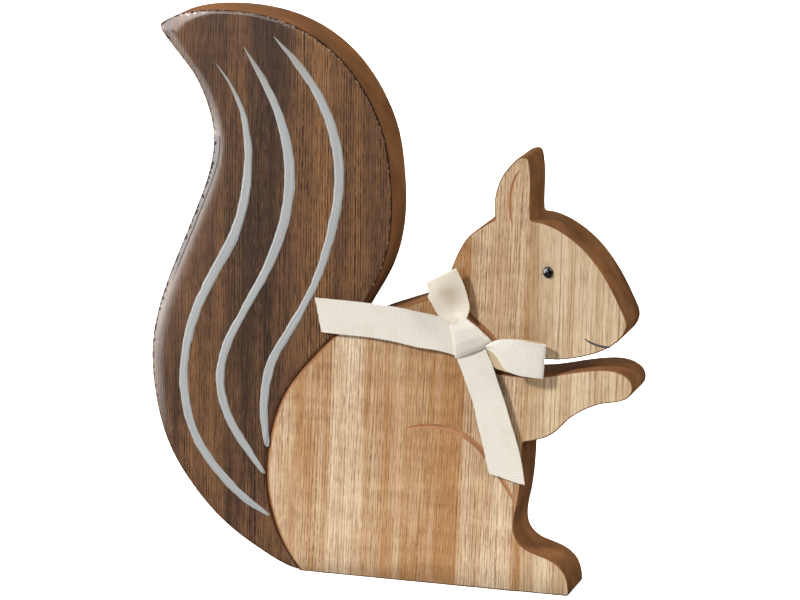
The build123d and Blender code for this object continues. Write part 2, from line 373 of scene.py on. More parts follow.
@dataclass(frozen=True)
class SawnWood(Finish):
    """Sawn wood with long growth lines.

    Attributes:
        pale: Colour of the lighter bands.
        tan: Colour of the darker bands.
        vein: Colour of the growth lines.
        pore: Colour of the short open pores.
        lean: Degrees that the grain leans to the right.
        pitch: Growth lines per metre across the grain.
        depth: How dark the growth lines are, from 0 to 1.
        curl: How strong the cross figure is, from 0 to 1.
        dash: Breaks per metre along the growth lines.
        bands: Places across the board in millimetres, and how dark the wood is there.
        span: Half the width that the bands can cover, in millimetres.
    """

    pale: Colour
    tan: Colour
    vein: Colour
    pore: Colour
    lean: float
    pitch: float = 870.0
    depth: float = 0.75
    curl: float = 0.3
    dash: float = 300.0
    bands: Sequence[Spot] = ((-90.0, 0.5), (90.0, 0.5))
    span: float = 100.0

    def paint(self, graph: Graph) -> None:
        """Lay fibres, growth lines, pores and a cross figure over the banded ground.

        Args:
            graph: The material's graph.
        """
        grain = graph.wandering(graph.turned(self.lean), (28, 28, 7), 1.6 * MM)
        across = graph.part(grain, "X")
        whole = 2 * self.span
        stops = [((place + self.span) / whole, (dark, dark, dark, 1.0)) for place, dark in self.bands]
        figure = graph.ramp(graph.gate(across, -self.span * MM, self.span * MM, smooth=False), stops)
        broad = graph.gate(graph.cloud(grain, (85, 60, 4), 3.0, 0.6), 0.3, 0.7, -0.14, 0.3)
        patchy = graph.gate(graph.cloud(grain, (300, 240, 26), 2.5, 0.6), 0.32, 0.68, -0.1, 0.1)
        shade = graph.plus(graph.times(figure, 0.75), graph.plus(broad, patchy))
        ground = graph.ramp(shade, [(0.1, self.pale), (0.85, self.tan)])
        fibres = graph.cloud(grain, (2600, 2200, 150), 2.5, 0.65)
        fibred = graph.over(graph.gate(fibres, 0.47, 0.63, 0.0, 0.5 * self.depth), ground, self.vein)
        jitter = graph.cloud(grain, (340, 240, 8))
        phase = graph.plus(graph.times(across, WHOLE_TURN * self.pitch), graph.times(jitter, 15.0))
        rings = graph.gate(graph.reckon("SINE", phase), 0.3, 0.95)
        dashes = graph.cloud(grain, (1500, 1200, self.dash), 2.0, 0.6)
        broken = graph.times(rings, graph.gate(dashes, 0.34, 0.6, 0.25, 1.0))
        strength = graph.cloud(grain, (190, 160, 9), 2.0, 0.6)
        veil = graph.times(broken, graph.gate(strength, 0.34, 0.66, 0.5 * self.depth, 1.2 * self.depth))
        lined = graph.over(veil, fibred, self.vein)
        specks = graph.cloud(grain, (2600, 2600, 170), 1.0)
        pores = graph.gate(specks, 0.62, 0.74, 0.0, 0.6 * self.depth)
        pored = graph.over(pores, lined, self.pore)
        glinting = graph.over(graph.gate(specks, 0.36, 0.26, 0.0, 0.4 * self.depth), pored, self.pale)
        ripple = graph.cloud(grain, (42, 30, 210), 2.5, 0.6)
        greys = graph.ramp(ripple, [(0.3, tone(90, 90, 90)), (0.7, tone(225, 225, 225))])
        graph.relief(graph.plus(broken, pores), -0.25, 0.08 * MM)
        graph.set(Roughness=graph.gate(dashes, 0.3, 0.7, 0.6, 0.75))
        self.shine(graph, graph.over(self.curl, glinting, greys, Blend.LIFT))

    def shine(self, graph: Graph, colour: Socket) -> None:
        """Leave the wood bare, with a faint shine."""
        graph.set(Base_Color=colour, Specular_IOR_Level=0.06)


@dataclass(frozen=True)
class CoatedWood(SawnWood):
    """Dark wood under a thick gloss coat, with a painted grey reflection along a stretch of its left edge.

    The piece's own coordinates are the distance from the left edge and the height, in metres.

    Attributes:
        worn: Colour of the band of painted grey reflection.
        line: Colour of the painted dark line at the inner edge of that reflection.
        dots: Colour of the dried dots at its edge.
        dot_pitch: Distance between those dots.
        foot: Heights between which the strip fades in.
        head: Heights between which it ends.
        waist: Heights between which it grows wider.
        widths: Its width below and above the waist.
        left_gloss: How much coat gloss is left over the painted reflection.
    """

    # worn and line paint a reflection: a grey band and the dark edge of a reflected light panel on the rim.
    worn: Colour = tone(150, 146, 143)
    line: Colour = tone(54, 44, 39)
    dots: Colour = tone(40, 31, 26)
    dot_pitch: float = 1.3 * MM
    foot: Spot = (107 * MM, 119 * MM)
    head: Spot = (169 * MM, 167.8 * MM)
    waist: Spot = (140 * MM, 164 * MM)
    widths: Spot = (2.1 * MM, 2.9 * MM)
    left_gloss: float = 0.12

    def shine(self, graph: Graph, colour: Socket) -> None:
        """Lay the coat over the wood, with a painted grey reflection band, its dark line and the dots at its
        edge.

        Args:
            graph: The material's graph.
            colour: The wood's colour.
        """
        flat = graph.surface()
        apart, height = graph.part(flat, "X"), graph.part(flat, "Y")
        past = graph.reckon("SUBTRACT", apart, graph.gate(height, *self.waist, *self.widths))
        stretch = graph.times(graph.gate(height, *self.foot), graph.gate(height, *self.head))
        # Painted reflection on the left rim: a grey band, and a dark line at its inner edge.
        painted_reflection_strip = graph.times(graph.gate(past, 0.08 * MM, -0.08 * MM), stretch)
        painted_edge_crest = graph.times(graph.gate(past, -0.4 * MM, -0.08 * MM), graph.gate(past, 0.34 * MM, 0.06 * MM))
        painted_reflection_edge = graph.times(painted_edge_crest, stretch)
        sway = graph.times(graph.cloud(flat, (0, 420, 0), 2.0, 0.6), 6.0)
        beat = graph.reckon("SINE", graph.plus(graph.times(height, WHOLE_TURN / self.dot_pitch), sway))
        dots = graph.times(graph.gate(beat, 0.0, 0.4), graph.gate(apart, 0.66 * MM, 0.5 * MM))
        lined = graph.over(painted_reflection_edge, graph.over(painted_reflection_strip, colour, self.worn), self.line)
        dotted = graph.over(graph.times(dots, stretch), lined, self.dots)
        rubbed = graph.reckon("MAXIMUM", painted_reflection_strip, painted_reflection_edge)
        graph.set(Base_Color=dotted, Specular_IOR_Level=0.0, Coat_Roughness=0.2, Coat_IOR=1.4,
                  Coat_Weight=graph.gate(rubbed, 0.0, 1.0, 1.0, self.left_gloss, smooth=False))


@dataclass(frozen=True)
class StainedEdge(Finish):
    """Brown stain on a board's sawn and sanded edges.

    Attributes:
        light: Colour where the stain is thin.
        dark: Colour where it has soaked in.
    """

    light: Colour
    dark: Colour

    def paint(self, graph: Graph) -> None:
        """Lay fine lines over the patchy stain.

        Args:
            graph: The material's graph.
        """
        grain = graph.turned(0.0)
        patches = graph.cloud(grain, (70, 90, 45), 3.0, 0.6)
        lines = graph.cloud(grain, (900, 1100, 30), 3.0, 0.6)
        ground = graph.ramp(patches, [(0.3, self.dark), (0.7, self.light)])
        graph.relief(lines, -0.2, 0.06 * MM)
        graph.set(Base_Color=graph.over(graph.gate(lines, 0.45, 0.7, 0.0, 0.4), ground, self.dark),
                  Roughness=graph.gate(patches, 0.3, 0.7, 0.6, 0.75), Specular_IOR_Level=0.04)


@dataclass(frozen=True)
class StripePaint(Finish):
    """Silver-grey satin paint laid on with a small brush.

    Attributes:
        thin: Colour where the coat shows through.
        silver: The paint's colour.
        light: Colour of the thick ridges.
        start: Distances from the stroke's point between which thin paint ends.
    """

    name: str = "stripe_paint"
    thin: Colour = tone(98, 86, 76)
    silver: Colour = tone(118, 121, 120)
    light: Colour = tone(148, 150, 148)
    start: Spot = (2 * MM, 30 * MM)

    def paint(self, graph: Graph) -> None:
        """Lay the brush's streaks, thin at the stroke's start.

        Args:
            graph: The material's graph.
        """
        flat = graph.surface()
        streaks = graph.cloud(flat, (2200, 45, 1), 3.0, 0.6)
        blots = graph.cloud(flat, (600, 220, 1))
        ground = graph.ramp(streaks, [(0.3, self.silver), (0.72, self.light)])
        start = graph.gate(graph.part(flat, "Y"), *self.start, 0.9, 0.0)
        worn = graph.times(start, graph.gate(streaks, 0.35, 0.6))
        faded = graph.over(worn, ground, self.thin)
        graph.relief(streaks, 0.35, 0.08 * MM)
        graph.set(Base_Color=graph.over(graph.gate(blots, 0.66, 0.78, 0.0, 0.35), faded, self.thin),
                  Roughness=graph.gate(streaks, 0.3, 0.7, 0.5, 0.65))


@dataclass(frozen=True)
class BeadGloss(Finish):
    """Glossy black of the eye, with fine light specks.

    Attributes:
        black: The bead's colour.
        painted_glint: Colour of the painted glints.
    """

    name: str = "eye_black"
    black: Colour = tone(9, 8, 9)
    # Colour of the glints painted on the bead.
    painted_glint: Colour = tone(150, 152, 160)

    def paint(self, graph: Graph) -> None:
        """Scatter the painted glints over the black.

        Args:
            graph: The material's graph.
        """
        # Light specks painted over the black as glints.
        dots = graph.cloud(graph.turned(0.0), (1700, 1700, 1700), 1.0)
        graph.relief(dots, 0.2, 0.1 * MM)
        graph.set(Base_Color=graph.over(graph.gate(dots, 0.62, 0.72, 0.0, 0.7), self.black, self.painted_glint),
                  Roughness=0.1, Specular_IOR_Level=0.3)


@dataclass(frozen=True)
class MouthInk(Finish):
    """Thin dark ink of the mouth.

    Attributes:
        ink: The ink's colour.
        worn: Colour where the ink is thin.
    """

    name: str = "mouth_ink"
    ink: Colour = tone(26, 19, 15)
    worn: Colour = tone(58, 42, 31)

    def paint(self, graph: Graph) -> None:
        """Lay the uneven ink."""
        blots = graph.cloud(graph.surface(), (900, 500, 1), 2.0, 0.6)
        graph.set(Base_Color=graph.ramp(blots, [(0.4, self.ink), (0.75, self.worn)]), Roughness=0.55)


@dataclass(frozen=True)
class TapeCloth(Finish):
    """Cream cotton tape with fine cross ribs.

    Attributes:
        cream: Colour of the ribs.
        soil_and_rib_shade: Colour of the painted shade between the ribs, also laid as faint soil.
        pitch: Ribs' pitch along the tape, in metres.
        depth: How strongly the ribs show, as painted shade between them.
        painted_shade_spot: Place across and along, and half width, of a soft spot of painted shade, in
            metres.
        tan: Colour of that painted shade.
    """

    name: str = "cream_tape"
    cream: Colour = tone(212, 207, 197)
    # Painted shade between the ribs, also the colour of the soil.
    soil_and_rib_shade: Colour = tone(190, 177, 156)
    pitch: float = 0.87 * MM
    depth: float = 1.0
    # A soft spot of painted shade, in the tan colour below.
    painted_shade_spot: Triple | None = None
    tan: Colour = tone(174, 148, 114)

    def paint(self, graph: Graph) -> None:
        """Weave the ribs and threads, with painted shade between the ribs, faint soil and a spot of painted
        shade.

        Args:
            graph: The material's graph.
        """
        flat = graph.surface()
        across, along = graph.part(flat, "X"), graph.part(flat, "Y")
        sway = graph.times(graph.cloud(flat, (260, 120, 1)), 1.6)
        wave = graph.reckon("SINE", graph.plus(graph.times(along, WHOLE_TURN / self.pitch), sway))
        ribs = graph.reckon("MULTIPLY_ADD", wave, 0.5, 0.5)
        threads = graph.cloud(flat, (5200, 1500, 1), 1.0)
        # Painted shade in the grooves between the ribs, deeper where the threads are.
        thread_rib_shade = graph.gate(threads, 0.25, 0.7, 0.3 * self.depth, 0.6 * self.depth)
        depth = graph.times(graph.gate(ribs, 0.0, 0.6, 1.0, 0.0), thread_rib_shade)
        woven = graph.over(depth, self.cream, self.soil_and_rib_shade)
        soil = graph.cloud(flat, (140, 90, 1), 3.0, 0.6)
        toned = graph.over(graph.gate(soil, 0.45, 0.75, 0.0, 0.35), woven, self.soil_and_rib_shade)
        # A soft spot of painted shade, where the loop dips.
        if self.painted_shade_spot:
            x, y, half = self.painted_shade_spot
            painted_shade_patch = graph.times(graph.bell(across, x, half), graph.bell(along, y, half))
            toned = graph.over(graph.times(painted_shade_patch, 0.55), toned, self.tan)
        graph.relief(graph.plus(ribs, graph.times(threads, 0.5)), 0.25, 0.04 * MM)
        graph.set(Base_Color=toned, Roughness=0.85, Sheen_Weight=0.25, Sheen_Roughness=0.5,
                  Specular_IOR_Level=0.2)


@dataclass(frozen=True)
class PaleFloor(Finish):
    """Plain pale studio floor.

    Attributes:
        light: The floor's colour.
        shade: Colour of its faint unevenness.
    """

    name: str = "pale_floor"
    light: Colour = (0.93, 0.93, 0.93, 1.0)
    shade: Colour = (0.91, 0.91, 0.91, 1.0)

    def paint(self, graph: Graph) -> None:
        """Lay the faintly uneven colour.

        Args:
            graph: The material's graph.
        """
        patches = graph.cloud(graph.turned(0.0), (3, 3, 3), 1.0)
        graph.set(Base_Color=graph.ramp(patches, [(0.3, self.light), (0.7, self.shade)]), Roughness=0.9,
                  Specular_IOR_Level=0.1)


def select_only(piece: Piece) -> None:
    """Select one object alone and make it the active one.

    Args:
        piece: The object.
    """
    bpy.ops.object.select_all(action="DESELECT")
    piece.select_set(True)
    bpy.context.view_layer.objects.active = piece


@contextmanager
def editing(piece: Piece) -> Iterator[None]:
    """Hold a piece alone in edit mode.

    Args:
        piece: The piece.

    Yields:
        Nothing, while the piece is in edit mode.
    """
    select_only(piece)
    bpy.ops.object.mode_set(mode="EDIT")
    yield
    bpy.ops.object.mode_set(mode="OBJECT")


def thicken(piece: Piece, thickness: float, offset: float) -> None:
    """Give an open sheet its thickness and smooth it.

    Args:
        piece: The sheet.
        thickness: How thick it gets.
        offset: Where the thickness goes, from -1 behind the sheet to 1 in front of it.
    """
    thick = piece.modifiers.new("thickness", "SOLIDIFY")
    thick.thickness = thickness
    thick.offset = offset
    select_only(piece)
    bpy.ops.object.modifier_apply(modifier=thick.name)
    bpy.ops.object.shade_smooth_by_angle(angle=math.radians(60))


def hand_over(piece: Piece, slot: str, *nodes: str) -> None:
    """Let a finished piece ride on the ornament in place of its solids.

    Args:
        piece: The finished piece.
        slot: The record's material slot.
        *nodes: The solids that it stands for.
    """
    select_only(piece)
    bpy.ops.object.transform_apply(location=True, rotation=True, scale=True)
    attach(piece, "root")
    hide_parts(*nodes)
    LOG.info("%s: %d faces, slot %s, for %s", piece.name, len(piece.data.polygons), slot, ", ".join(nodes))


def new_piece(name: str, mesh: bpy.types.Mesh, materials: Sequence[Material]) -> Piece:
    """Put a mesh into the scene as a piece with its materials.

    Args:
        name: The piece's name.
        mesh: Its mesh.
        materials: Its materials in the order of its slots.

    Returns:
        The piece.
    """
    mesh.name = name
    mesh.materials.clear()
    for material in materials:
        mesh.materials.append(material)
    piece = bpy.data.objects.new(name, mesh)
    bpy.context.scene.collection.objects.link(piece)
    return piece


def unit(rows: np.ndarray) -> np.ndarray:
    """Each row at a length of 1."""
    return rows / np.linalg.norm(rows, axis=1)[:, None]


def chord_places(points: np.ndarray) -> np.ndarray:
    """Distance of each row along the straight runs between the rows, from 0."""
    return np.concatenate([[0.0], np.cumsum(np.linalg.norm(np.diff(points, axis=0), axis=1))])


def smooth_run(points: np.ndarray, places: np.ndarray, knots: np.ndarray) -> np.ndarray:
    """Rows along a smooth curve through given rows.

    Args:
        points: The rows to pass through, one per station.
        places: Where to read the curve, in the stations' own measure.
        knots: Each station's place in that measure, rising.

    Returns:
        One row for each place.
    """
    steps = np.diff(knots)
    slopes = np.diff(points, axis=0) / steps[:, None]
    tangents = np.empty_like(points)
    tangents[0] = slopes[0]
    tangents[-1] = slopes[-1]
    before, after = steps[:-1, None], steps[1:, None]
    tangents[1:-1] = (slopes[:-1] * after + slopes[1:] * before) / (before + after)
    span = np.clip(np.searchsorted(knots, places, side="right") - 1, 0, len(steps) - 1)
    share = ((places - knots[span]) / steps[span])[:, None]
    width = steps[span][:, None]
    start = (1 + 2 * share) * (1 - share) ** 2
    leave = share * (1 - share) ** 2 * width
    end = share ** 2 * (3 - 2 * share)
    arrive = share ** 2 * (share - 1) * width
    held = start * points[span] + leave * tangents[span]
    return held + end * points[span + 1] + arrive * tangents[span + 1]


def woven_grid(name: str, columns: int, rows: int, width: float, length: float, place: Place) -> Piece:
    """A grid primitive whose every point is moved to its place on a curved surface.

    Args:
        name: The new piece's name.
        columns: Faces across.
        rows: Faces along.
        width: Flat width, for the piece's own coordinates.
        length: Flat length, for the piece's own coordinates.
        place: Gives points from shares across and shares along.

    Returns:
        The new piece.
    """
    bpy.ops.object.select_all(action="DESELECT")
    bpy.ops.mesh.primitive_grid_add(x_subdivisions=columns, y_subdivisions=rows, size=1.0, calc_uvs=True)
    piece = bpy.context.active_object
    piece.name = name
    mesh = piece.data
    mesh.name = name
    flat = np.empty(len(mesh.vertices) * 3)
    mesh.vertices.foreach_get("co", flat)
    flat = flat.reshape(-1, 3)
    points = place(flat[:, 0] + 0.5, flat[:, 1] + 0.5)
    mesh.vertices.foreach_set("co", np.ascontiguousarray(points).ravel())
    layer = mesh.uv_layers[0].data
    sheet = np.empty(len(layer) * 2)
    layer.foreach_get("uv", sheet)
    layer.foreach_set("uv", (sheet.reshape(-1, 2) * (width, length)).ravel())
    mesh.update()
    return piece


def face_front(piece: Piece) -> None:
    """Turn an open sheet's faces so that they look forward on the whole.

    Args:
        piece: The sheet.
    """
    mesh = piece.data
    if sum(polygon.normal.y * polygon.area for polygon in mesh.polygons) > 0:
        mesh.flip_normals()


@dataclass
class Outline:
    """Closed outline of a board's face, seen from the front.

    Attributes:
        points: Spots around the outline, in metres, with the inside on the left.
        grain: Spots nearer than this are one, in metres.
        block: Spots that are measured at a time.
    """

    points: np.ndarray
    grain: float = 1e-7
    block: int = 800

    @classmethod
    def of_node(cls, node: Piece, rear: bool = False) -> Outline:
        """Read the outline of a solid's front or rear face.

        Args:
            node: The solid.
            rear: Whether to read the rear face.

        Returns:
            The longest closed outline of that face.
        """
        mesh = node.data
        depths = [vertex.co.y for vertex in mesh.vertices]
        level = max(depths) if rear else min(depths)
        grain = cls.grain
        keys = [(round(vertex.co.x / grain), round(vertex.co.z / grain)) for vertex in mesh.vertices]
        rims: set[tuple[Spot, Spot]] = set()
        for polygon in mesh.polygons:
            if any(abs(depths[index] - level) > 10 * cls.grain for index in polygon.vertices):
                continue
            ring = [keys[index] for index in polygon.vertices]
            for start, end in zip(ring, ring[1:] + ring[:1]):
                if (end, start) in rims:
                    rims.remove((end, start))
                else:
                    rims.add((start, end))
        following = dict(rims)
        loops = []
        while following:
            start, spot = following.popitem()
            loop = [start]
            while spot in following:
                loop.append(spot)
                spot = following.pop(spot)
            loops.append(loop)
        points = np.array(max(loops, key=len), float) * cls.grain
        area = np.sum(points[:, 0] * np.roll(points[:, 1], -1) - points[:, 1] * np.roll(points[:, 0], -1))
        return cls(points if area > 0 else points[::-1].copy())

    def smoothed(self, spacing: float, corner: float = 25.0) -> Outline:
        """The same outline with even, closely spaced spots, sharp only at its real corners.

        Args:
            spacing: Distance between spots.
            corner: Turn in degrees from which a spot counts as a corner.

        Returns:
            The smoother outline.
        """
        ahead = np.roll(self.points, -1, axis=0) - self.points
        behind = np.roll(ahead, 1, axis=0)
        cross = behind[:, 0] * ahead[:, 1] - behind[:, 1] * ahead[:, 0]
        turn = np.abs(np.degrees(np.arctan2(cross, np.sum(ahead * behind, axis=1))))
        corners = [index for index in range(len(turn)) if turn[index] > corner] or [0]
        stretches = []
        for start, end in zip(corners, corners[1:] + [corners[0] + len(self.points)]):
            run = self.points[np.arange(start, end + 1) % len(self.points)]
            knots = chord_places(run)
            count = max(1, round(knots[-1] / spacing))
            places = np.linspace(0, knots[-1], count + 1)[:-1]
            straight = run[0] + (run[1] - run[0]) * (places / knots[-1])[:, None]
            stretches.append(smooth_run(run, places, knots) if len(run) > 2 else straight)
        return Outline(np.concatenate(stretches))

    def outward(self) -> np.ndarray:
        """Unit vectors out of the outline, one for the side that starts at each spot."""
        sides = np.roll(self.points, -1, axis=0) - self.points
        return unit(np.stack([sides[:, 1], -sides[:, 0]], axis=1))

    def nearest(self, spots: np.ndarray) -> tuple[np.ndarray, np.ndarray]:
        """Distance of each spot to the outline.

        Args:
            spots: The spots.

        Returns:
            The distances, and which side of the outline is nearest.
        """
        starts = self.points
        sides = np.roll(starts, -1, axis=0) - starts
        squares = np.sum(sides * sides, axis=1)
        distances, which = np.empty(len(spots)), np.empty(len(spots), int)
        for first in range(0, len(spots), self.block):
            part = slice(first, first + self.block)
            offset = spots[part][:, None, :] - starts[None, :, :]
            share = np.clip(np.sum(offset * sides[None], axis=2) / squares[None], 0, 1)
            gap = np.linalg.norm(offset - share[:, :, None] * sides[None], axis=2)
            which[part] = gap.argmin(axis=1)
            distances[part] = gap.min(axis=1)
        return distances, which

    def holds(self, spots: np.ndarray) -> np.ndarray:
        """Whether each spot is inside the outline.

        Args:
            spots: The spots.

        Returns:
            One truth value per spot.
        """
        x, z = spots[:, 0][:, None], spots[:, 1][:, None]
        low = self.points
        high = np.roll(low, -1, axis=0)
        crosses = (low[:, 1] > z) != (high[:, 1] > z)
        rise = np.where(high[:, 1] == low[:, 1], self.grain, high[:, 1] - low[:, 1])
        at = low[:, 0] + (z - low[:, 1]) * (high[:, 0] - low[:, 0]) / rise
        return np.count_nonzero(crosses & (x < at), axis=1) % 2 == 1


@dataclass
class Stave:
    """One sawn stretch of wood with softened edges.

    Attributes:
        node: The solid that it stands for.
        piece: The piece's name.
        slot: The record's material slot.
        finishes: Materials of its faces, edges, carved grooves and the chamfer along the glue joint.
        rear_only: Whether only the rear edges are softened.
        rim: Radius of the softened edges.
        seam_foot: Where the glue seam between the staves meets the ground.
        seam_lean: How far the seam leans per metre.
        seam_slack: Distance within which an edge lies on the seam.
        groove_start: The chamfer lies left of this, the grooves right of it.
        groove_share: How much of the grooves' depth is left after sanding.
    """

    node: str
    piece: str
    slot: str
    finishes: Sequence[Material]
    rear_only: bool = False
    rim: float = 0.55 * MM
    seam_foot: float = 33.8 * MM
    seam_lean: float = math.tan(math.radians(1.57))
    seam_slack: float = 0.05 * MM
    groove_start: float = -14 * MM
    groove_share: float = 0.42

    def build(self, solid: Piece) -> Piece:
        """Copy the solid, merge it, soften its edges and dress it.

        Args:
            solid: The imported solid.

        Returns:
            The finished piece.
        """
        piece = new_piece(self.piece, solid.data.copy(), self.finishes)
        select_only(piece)
        bpy.ops.mesh.customdata_custom_splitnormals_clear()
        with editing(piece):
            bpy.ops.mesh.select_mode(type="FACE")
            bpy.ops.mesh.select_all(action="SELECT")
            bpy.ops.mesh.remove_doubles(threshold=0.001 * MM)
            self.sort_faces(piece)
            bpy.ops.mesh.dissolve_limited(angle_limit=math.radians(0.2))
            self.pick_rims(piece)
            bpy.ops.mesh.bevel(offset=self.rim, segments=3, profile=0.5, affect="EDGES",
                               clamp_overlap=False, material=BoardSlot.EDGE.value)
        bpy.ops.object.shade_smooth_by_angle(angle=math.radians(45))
        for polygon in piece.data.polygons:
            polygon.use_smooth = abs(polygon.normal.y) < 0.9995
        hand_over(piece, self.slot, self.node)
        return piece

    def sort_faces(self, piece: Piece) -> None:
        """Give each face its finish, sand the grooves, and leave the flat front and rear selected.

        Args:
            piece: The merged copy, in edit mode.
        """
        sheet = bmesh.from_edit_mesh(piece.data)
        for face in sheet.faces:
            flat = abs(face.normal.y) > 0.999
            carved = not flat and face.normal.y < -0.15
            by_joint = face.calc_center_median().x < self.groove_start
            groove = BoardSlot.JOINT if by_joint else BoardSlot.GROOVE
            face.material_index = (BoardSlot.FACE if flat else groove if carved else BoardSlot.EDGE).value
            face.select_set(flat)
        grooves = [face for face in sheet.faces if face.material_index == BoardSlot.GROOVE]
        for vertex in {vertex for face in grooves for vertex in face.verts}:
            vertex.co.y = FRONT + (vertex.co.y - FRONT) * self.groove_share
        bmesh.update_edit_mesh(piece.data)

    def pick_rims(self, piece: Piece) -> None:
        """Select the edges between the flat faces and the sawn edge, apart from those along the glue seam.

        Args:
            piece: The merged copy, in edit mode.
        """
        bpy.ops.mesh.select_mode(type="EDGE")
        bpy.ops.mesh.select_all(action="DESELECT")
        sheet = bmesh.from_edit_mesh(piece.data)
        for edge in sheet.edges:
            if len(edge.link_faces) != 2:
                continue
            upright, flat = sorted(abs(face.normal.y) for face in edge.link_faces)
            middle = (edge.verts[0].co + edge.verts[1].co) / 2
            apart = [vertex.co.x - self.seam_foot - vertex.co.z * self.seam_lean for vertex in edge.verts]
            on_seam = all(abs(gap) < self.seam_slack for gap in apart)
            if upright < 0.2 and flat > 0.99 and not on_seam and not (self.rear_only and middle.y < 0):
                edge.select_set(True)
        bmesh.update_edit_mesh(piece.data)


@dataclass
class LightPanel:
    """The light body in its two staves, the second one in three stretches.

    Attributes:
        main: Wood of the main stave.
        second: Wood of the second stave.
        stain: Stain on the sawn edges.
        carved: Stain in the carved grooves.
        chamfer: Stain on the chamfer along the glue joint.
    """

    main: SawnWood = SawnWood(
        "light_wood", tone(218, 197, 167), tone(168, 125, 81), tone(124, 85, 52), tone(98, 65, 40), 2.4,
        depth=0.8, curl=0.28, bands=(
            (-64, 0.6), (-53, 0.66), (-47.5, 0.62), (-45.4, 0.82), (-43.4, 0.33), (-37.5, 0.22), (-32, 0.4),
            (-29.8, 0.82), (-28.2, 0.48), (-25, 0.45), (-22.5, 0.8), (-18, 0.95), (-15.5, 0.96), (-13.2, 1.1),
            (-11.3, 0.96), (-5, 0.94), (2.5, 0.88), (5.5, 0.86), (7.3, 1.0), (9.2, 0.42), (16.5, 0.3),
            (19.2, 0.34), (20.8, 0.62), (22.3, 0.3), (29, 0.32), (32.5, 0.75), (36, 0.5)))
    second: SawnWood = SawnWood(
        "pale_wood", tone(208, 186, 154), tone(170, 137, 100), tone(134, 100, 68), tone(106, 74, 49), 0.8,
        pitch=520.0, depth=0.68, curl=0.15, dash=80.0, bands=(
            (30, 0.5), (37, 0.6), (39, 0.3), (48, 0.32), (50.5, 0.7), (53.5, 0.3), (60, 0.4), (62, 0.9),
            (64, 0.4), (65.5, 0.75), (68, 0.35), (76, 0.45)))
    stain: StainedEdge = StainedEdge("body_edge_stain", tone(136, 92, 56), tone(86, 56, 34))
    carved: StainedEdge = StainedEdge("groove_stain", tone(176, 128, 91), tone(150, 104, 72))
    chamfer: StainedEdge = StainedEdge("joint_stain", tone(160, 114, 78), tone(128, 88, 58))

    def build(self, nodes: Nodes) -> list[Piece]:
        """Build and dress the staves.

        Args:
            nodes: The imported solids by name.

        Returns:
            The finished pieces.
        """
        light, pale = self.main.make(), self.second.make()
        edges = [self.stain.make(), self.carved.make(), self.chamfer.make()]
        staves = [Stave("body_board", "body_main_stave", "light_wood", [light, *edges])]
        staves += [Stave(f"{part}_stave", f"{part}_wood", "pale_wood", [pale, *edges])
                   for part in ("muzzle", "forearm", "toe")]
        return [stave.build(nodes[stave.node]) for stave in staves]


@dataclass(frozen=True)
class Stroke:
    """One stroke of paint, as a thin film that lies on a surface.

    Attributes:
        node: The solid that it stands for.
        piece: The piece's name.
        slot: The record's material slot.
        stations: Its middle line and width in millimetres, from its point to its end.
        film: Thickness of the film.
        waver: How far its edges waver.
        columns: Faces across.
        row: Length of a face along the stroke.
        probe: Step to each side for reading the stroke's direction.
        waves: Lengths of the edges' long and short waver.
        least: Least width of the stroke.
    """

    node: str
    piece: str
    slot: str
    stations: Sequence[Triple]
    film: float = 0.14 * MM
    waver: float = 0.3 * MM
    columns: int = 10
    row: float = 0.9 * MM
    probe: float = 0.1 * MM
    waves: Spot = (5 * MM, 1.6 * MM)
    least: float = 0.02 * MM

    def build(self, material: Material, level: Callable[[np.ndarray], np.ndarray]) -> Piece:
        """Build the film on its surface.

        Args:
            material: The paint.
            level: Gives the depth of the surface below at front-view spots.

        Returns:
            The finished piece.
        """
        table = np.array(self.stations, float) * MM
        knots = chord_places(table[:, :2])
        length = knots[-1]
        seed = sum(map(ord, self.piece)) % 97

        def waved(at: float, right: bool) -> float:
            """How far an edge is off its line, long and short waver together."""
            return (noise.noise((at / self.waves[0], seed + (7 if right else 0), 0.3))
                    + 0.4 * noise.noise((at / self.waves[1], seed + (5 if right else 0), 0.8)))

        def place(across: np.ndarray, along: np.ndarray) -> np.ndarray:
            """Points of the film.

            Args:
                across: Shares across.
                along: Shares along.

            Returns:
                One point for each pair of shares.
            """
            places = along * length
            rows = smooth_run(table, places, knots)
            ahead = smooth_run(table, np.clip(places + self.probe, 0, length), knots)
            behind = smooth_run(table, np.clip(places - self.probe, 0, length), knots)
            run = unit(ahead[:, :2] - behind[:, :2])
            half = np.maximum(rows[:, 2], self.least) / 2
            cap = np.clip((length - places) / half, 0, 1)
            half = half * np.sqrt(1 - (1 - cap) ** 2 + 1e-4)
            side = across * 2 - 1
            wave = np.array([waved(at, turn > 0) for at, turn in zip(places, side)])
            reach = side * half + side * wave * self.waver * np.minimum(half / MM, 1)
            spots = rows[:, :2] + np.stack([-run[:, 1], run[:, 0]], axis=1) * reach[:, None]
            swell = np.sqrt(np.clip(1 - side ** 8, 0, 1)) * np.minimum(1, half / (0.5 * MM))
            return np.stack([spots[:, 0], level(spots) - self.film * swell, spots[:, 1]], axis=1)

        rows = round(length / self.row)
        piece = woven_grid(self.piece, self.columns, rows, table[:, 2].max(), length, place)
        piece.data.materials.append(material)
        face_front(piece)
        thicken(piece, self.film * 0.6, -1.0)
        hand_over(piece, self.slot, self.node)
        return piece


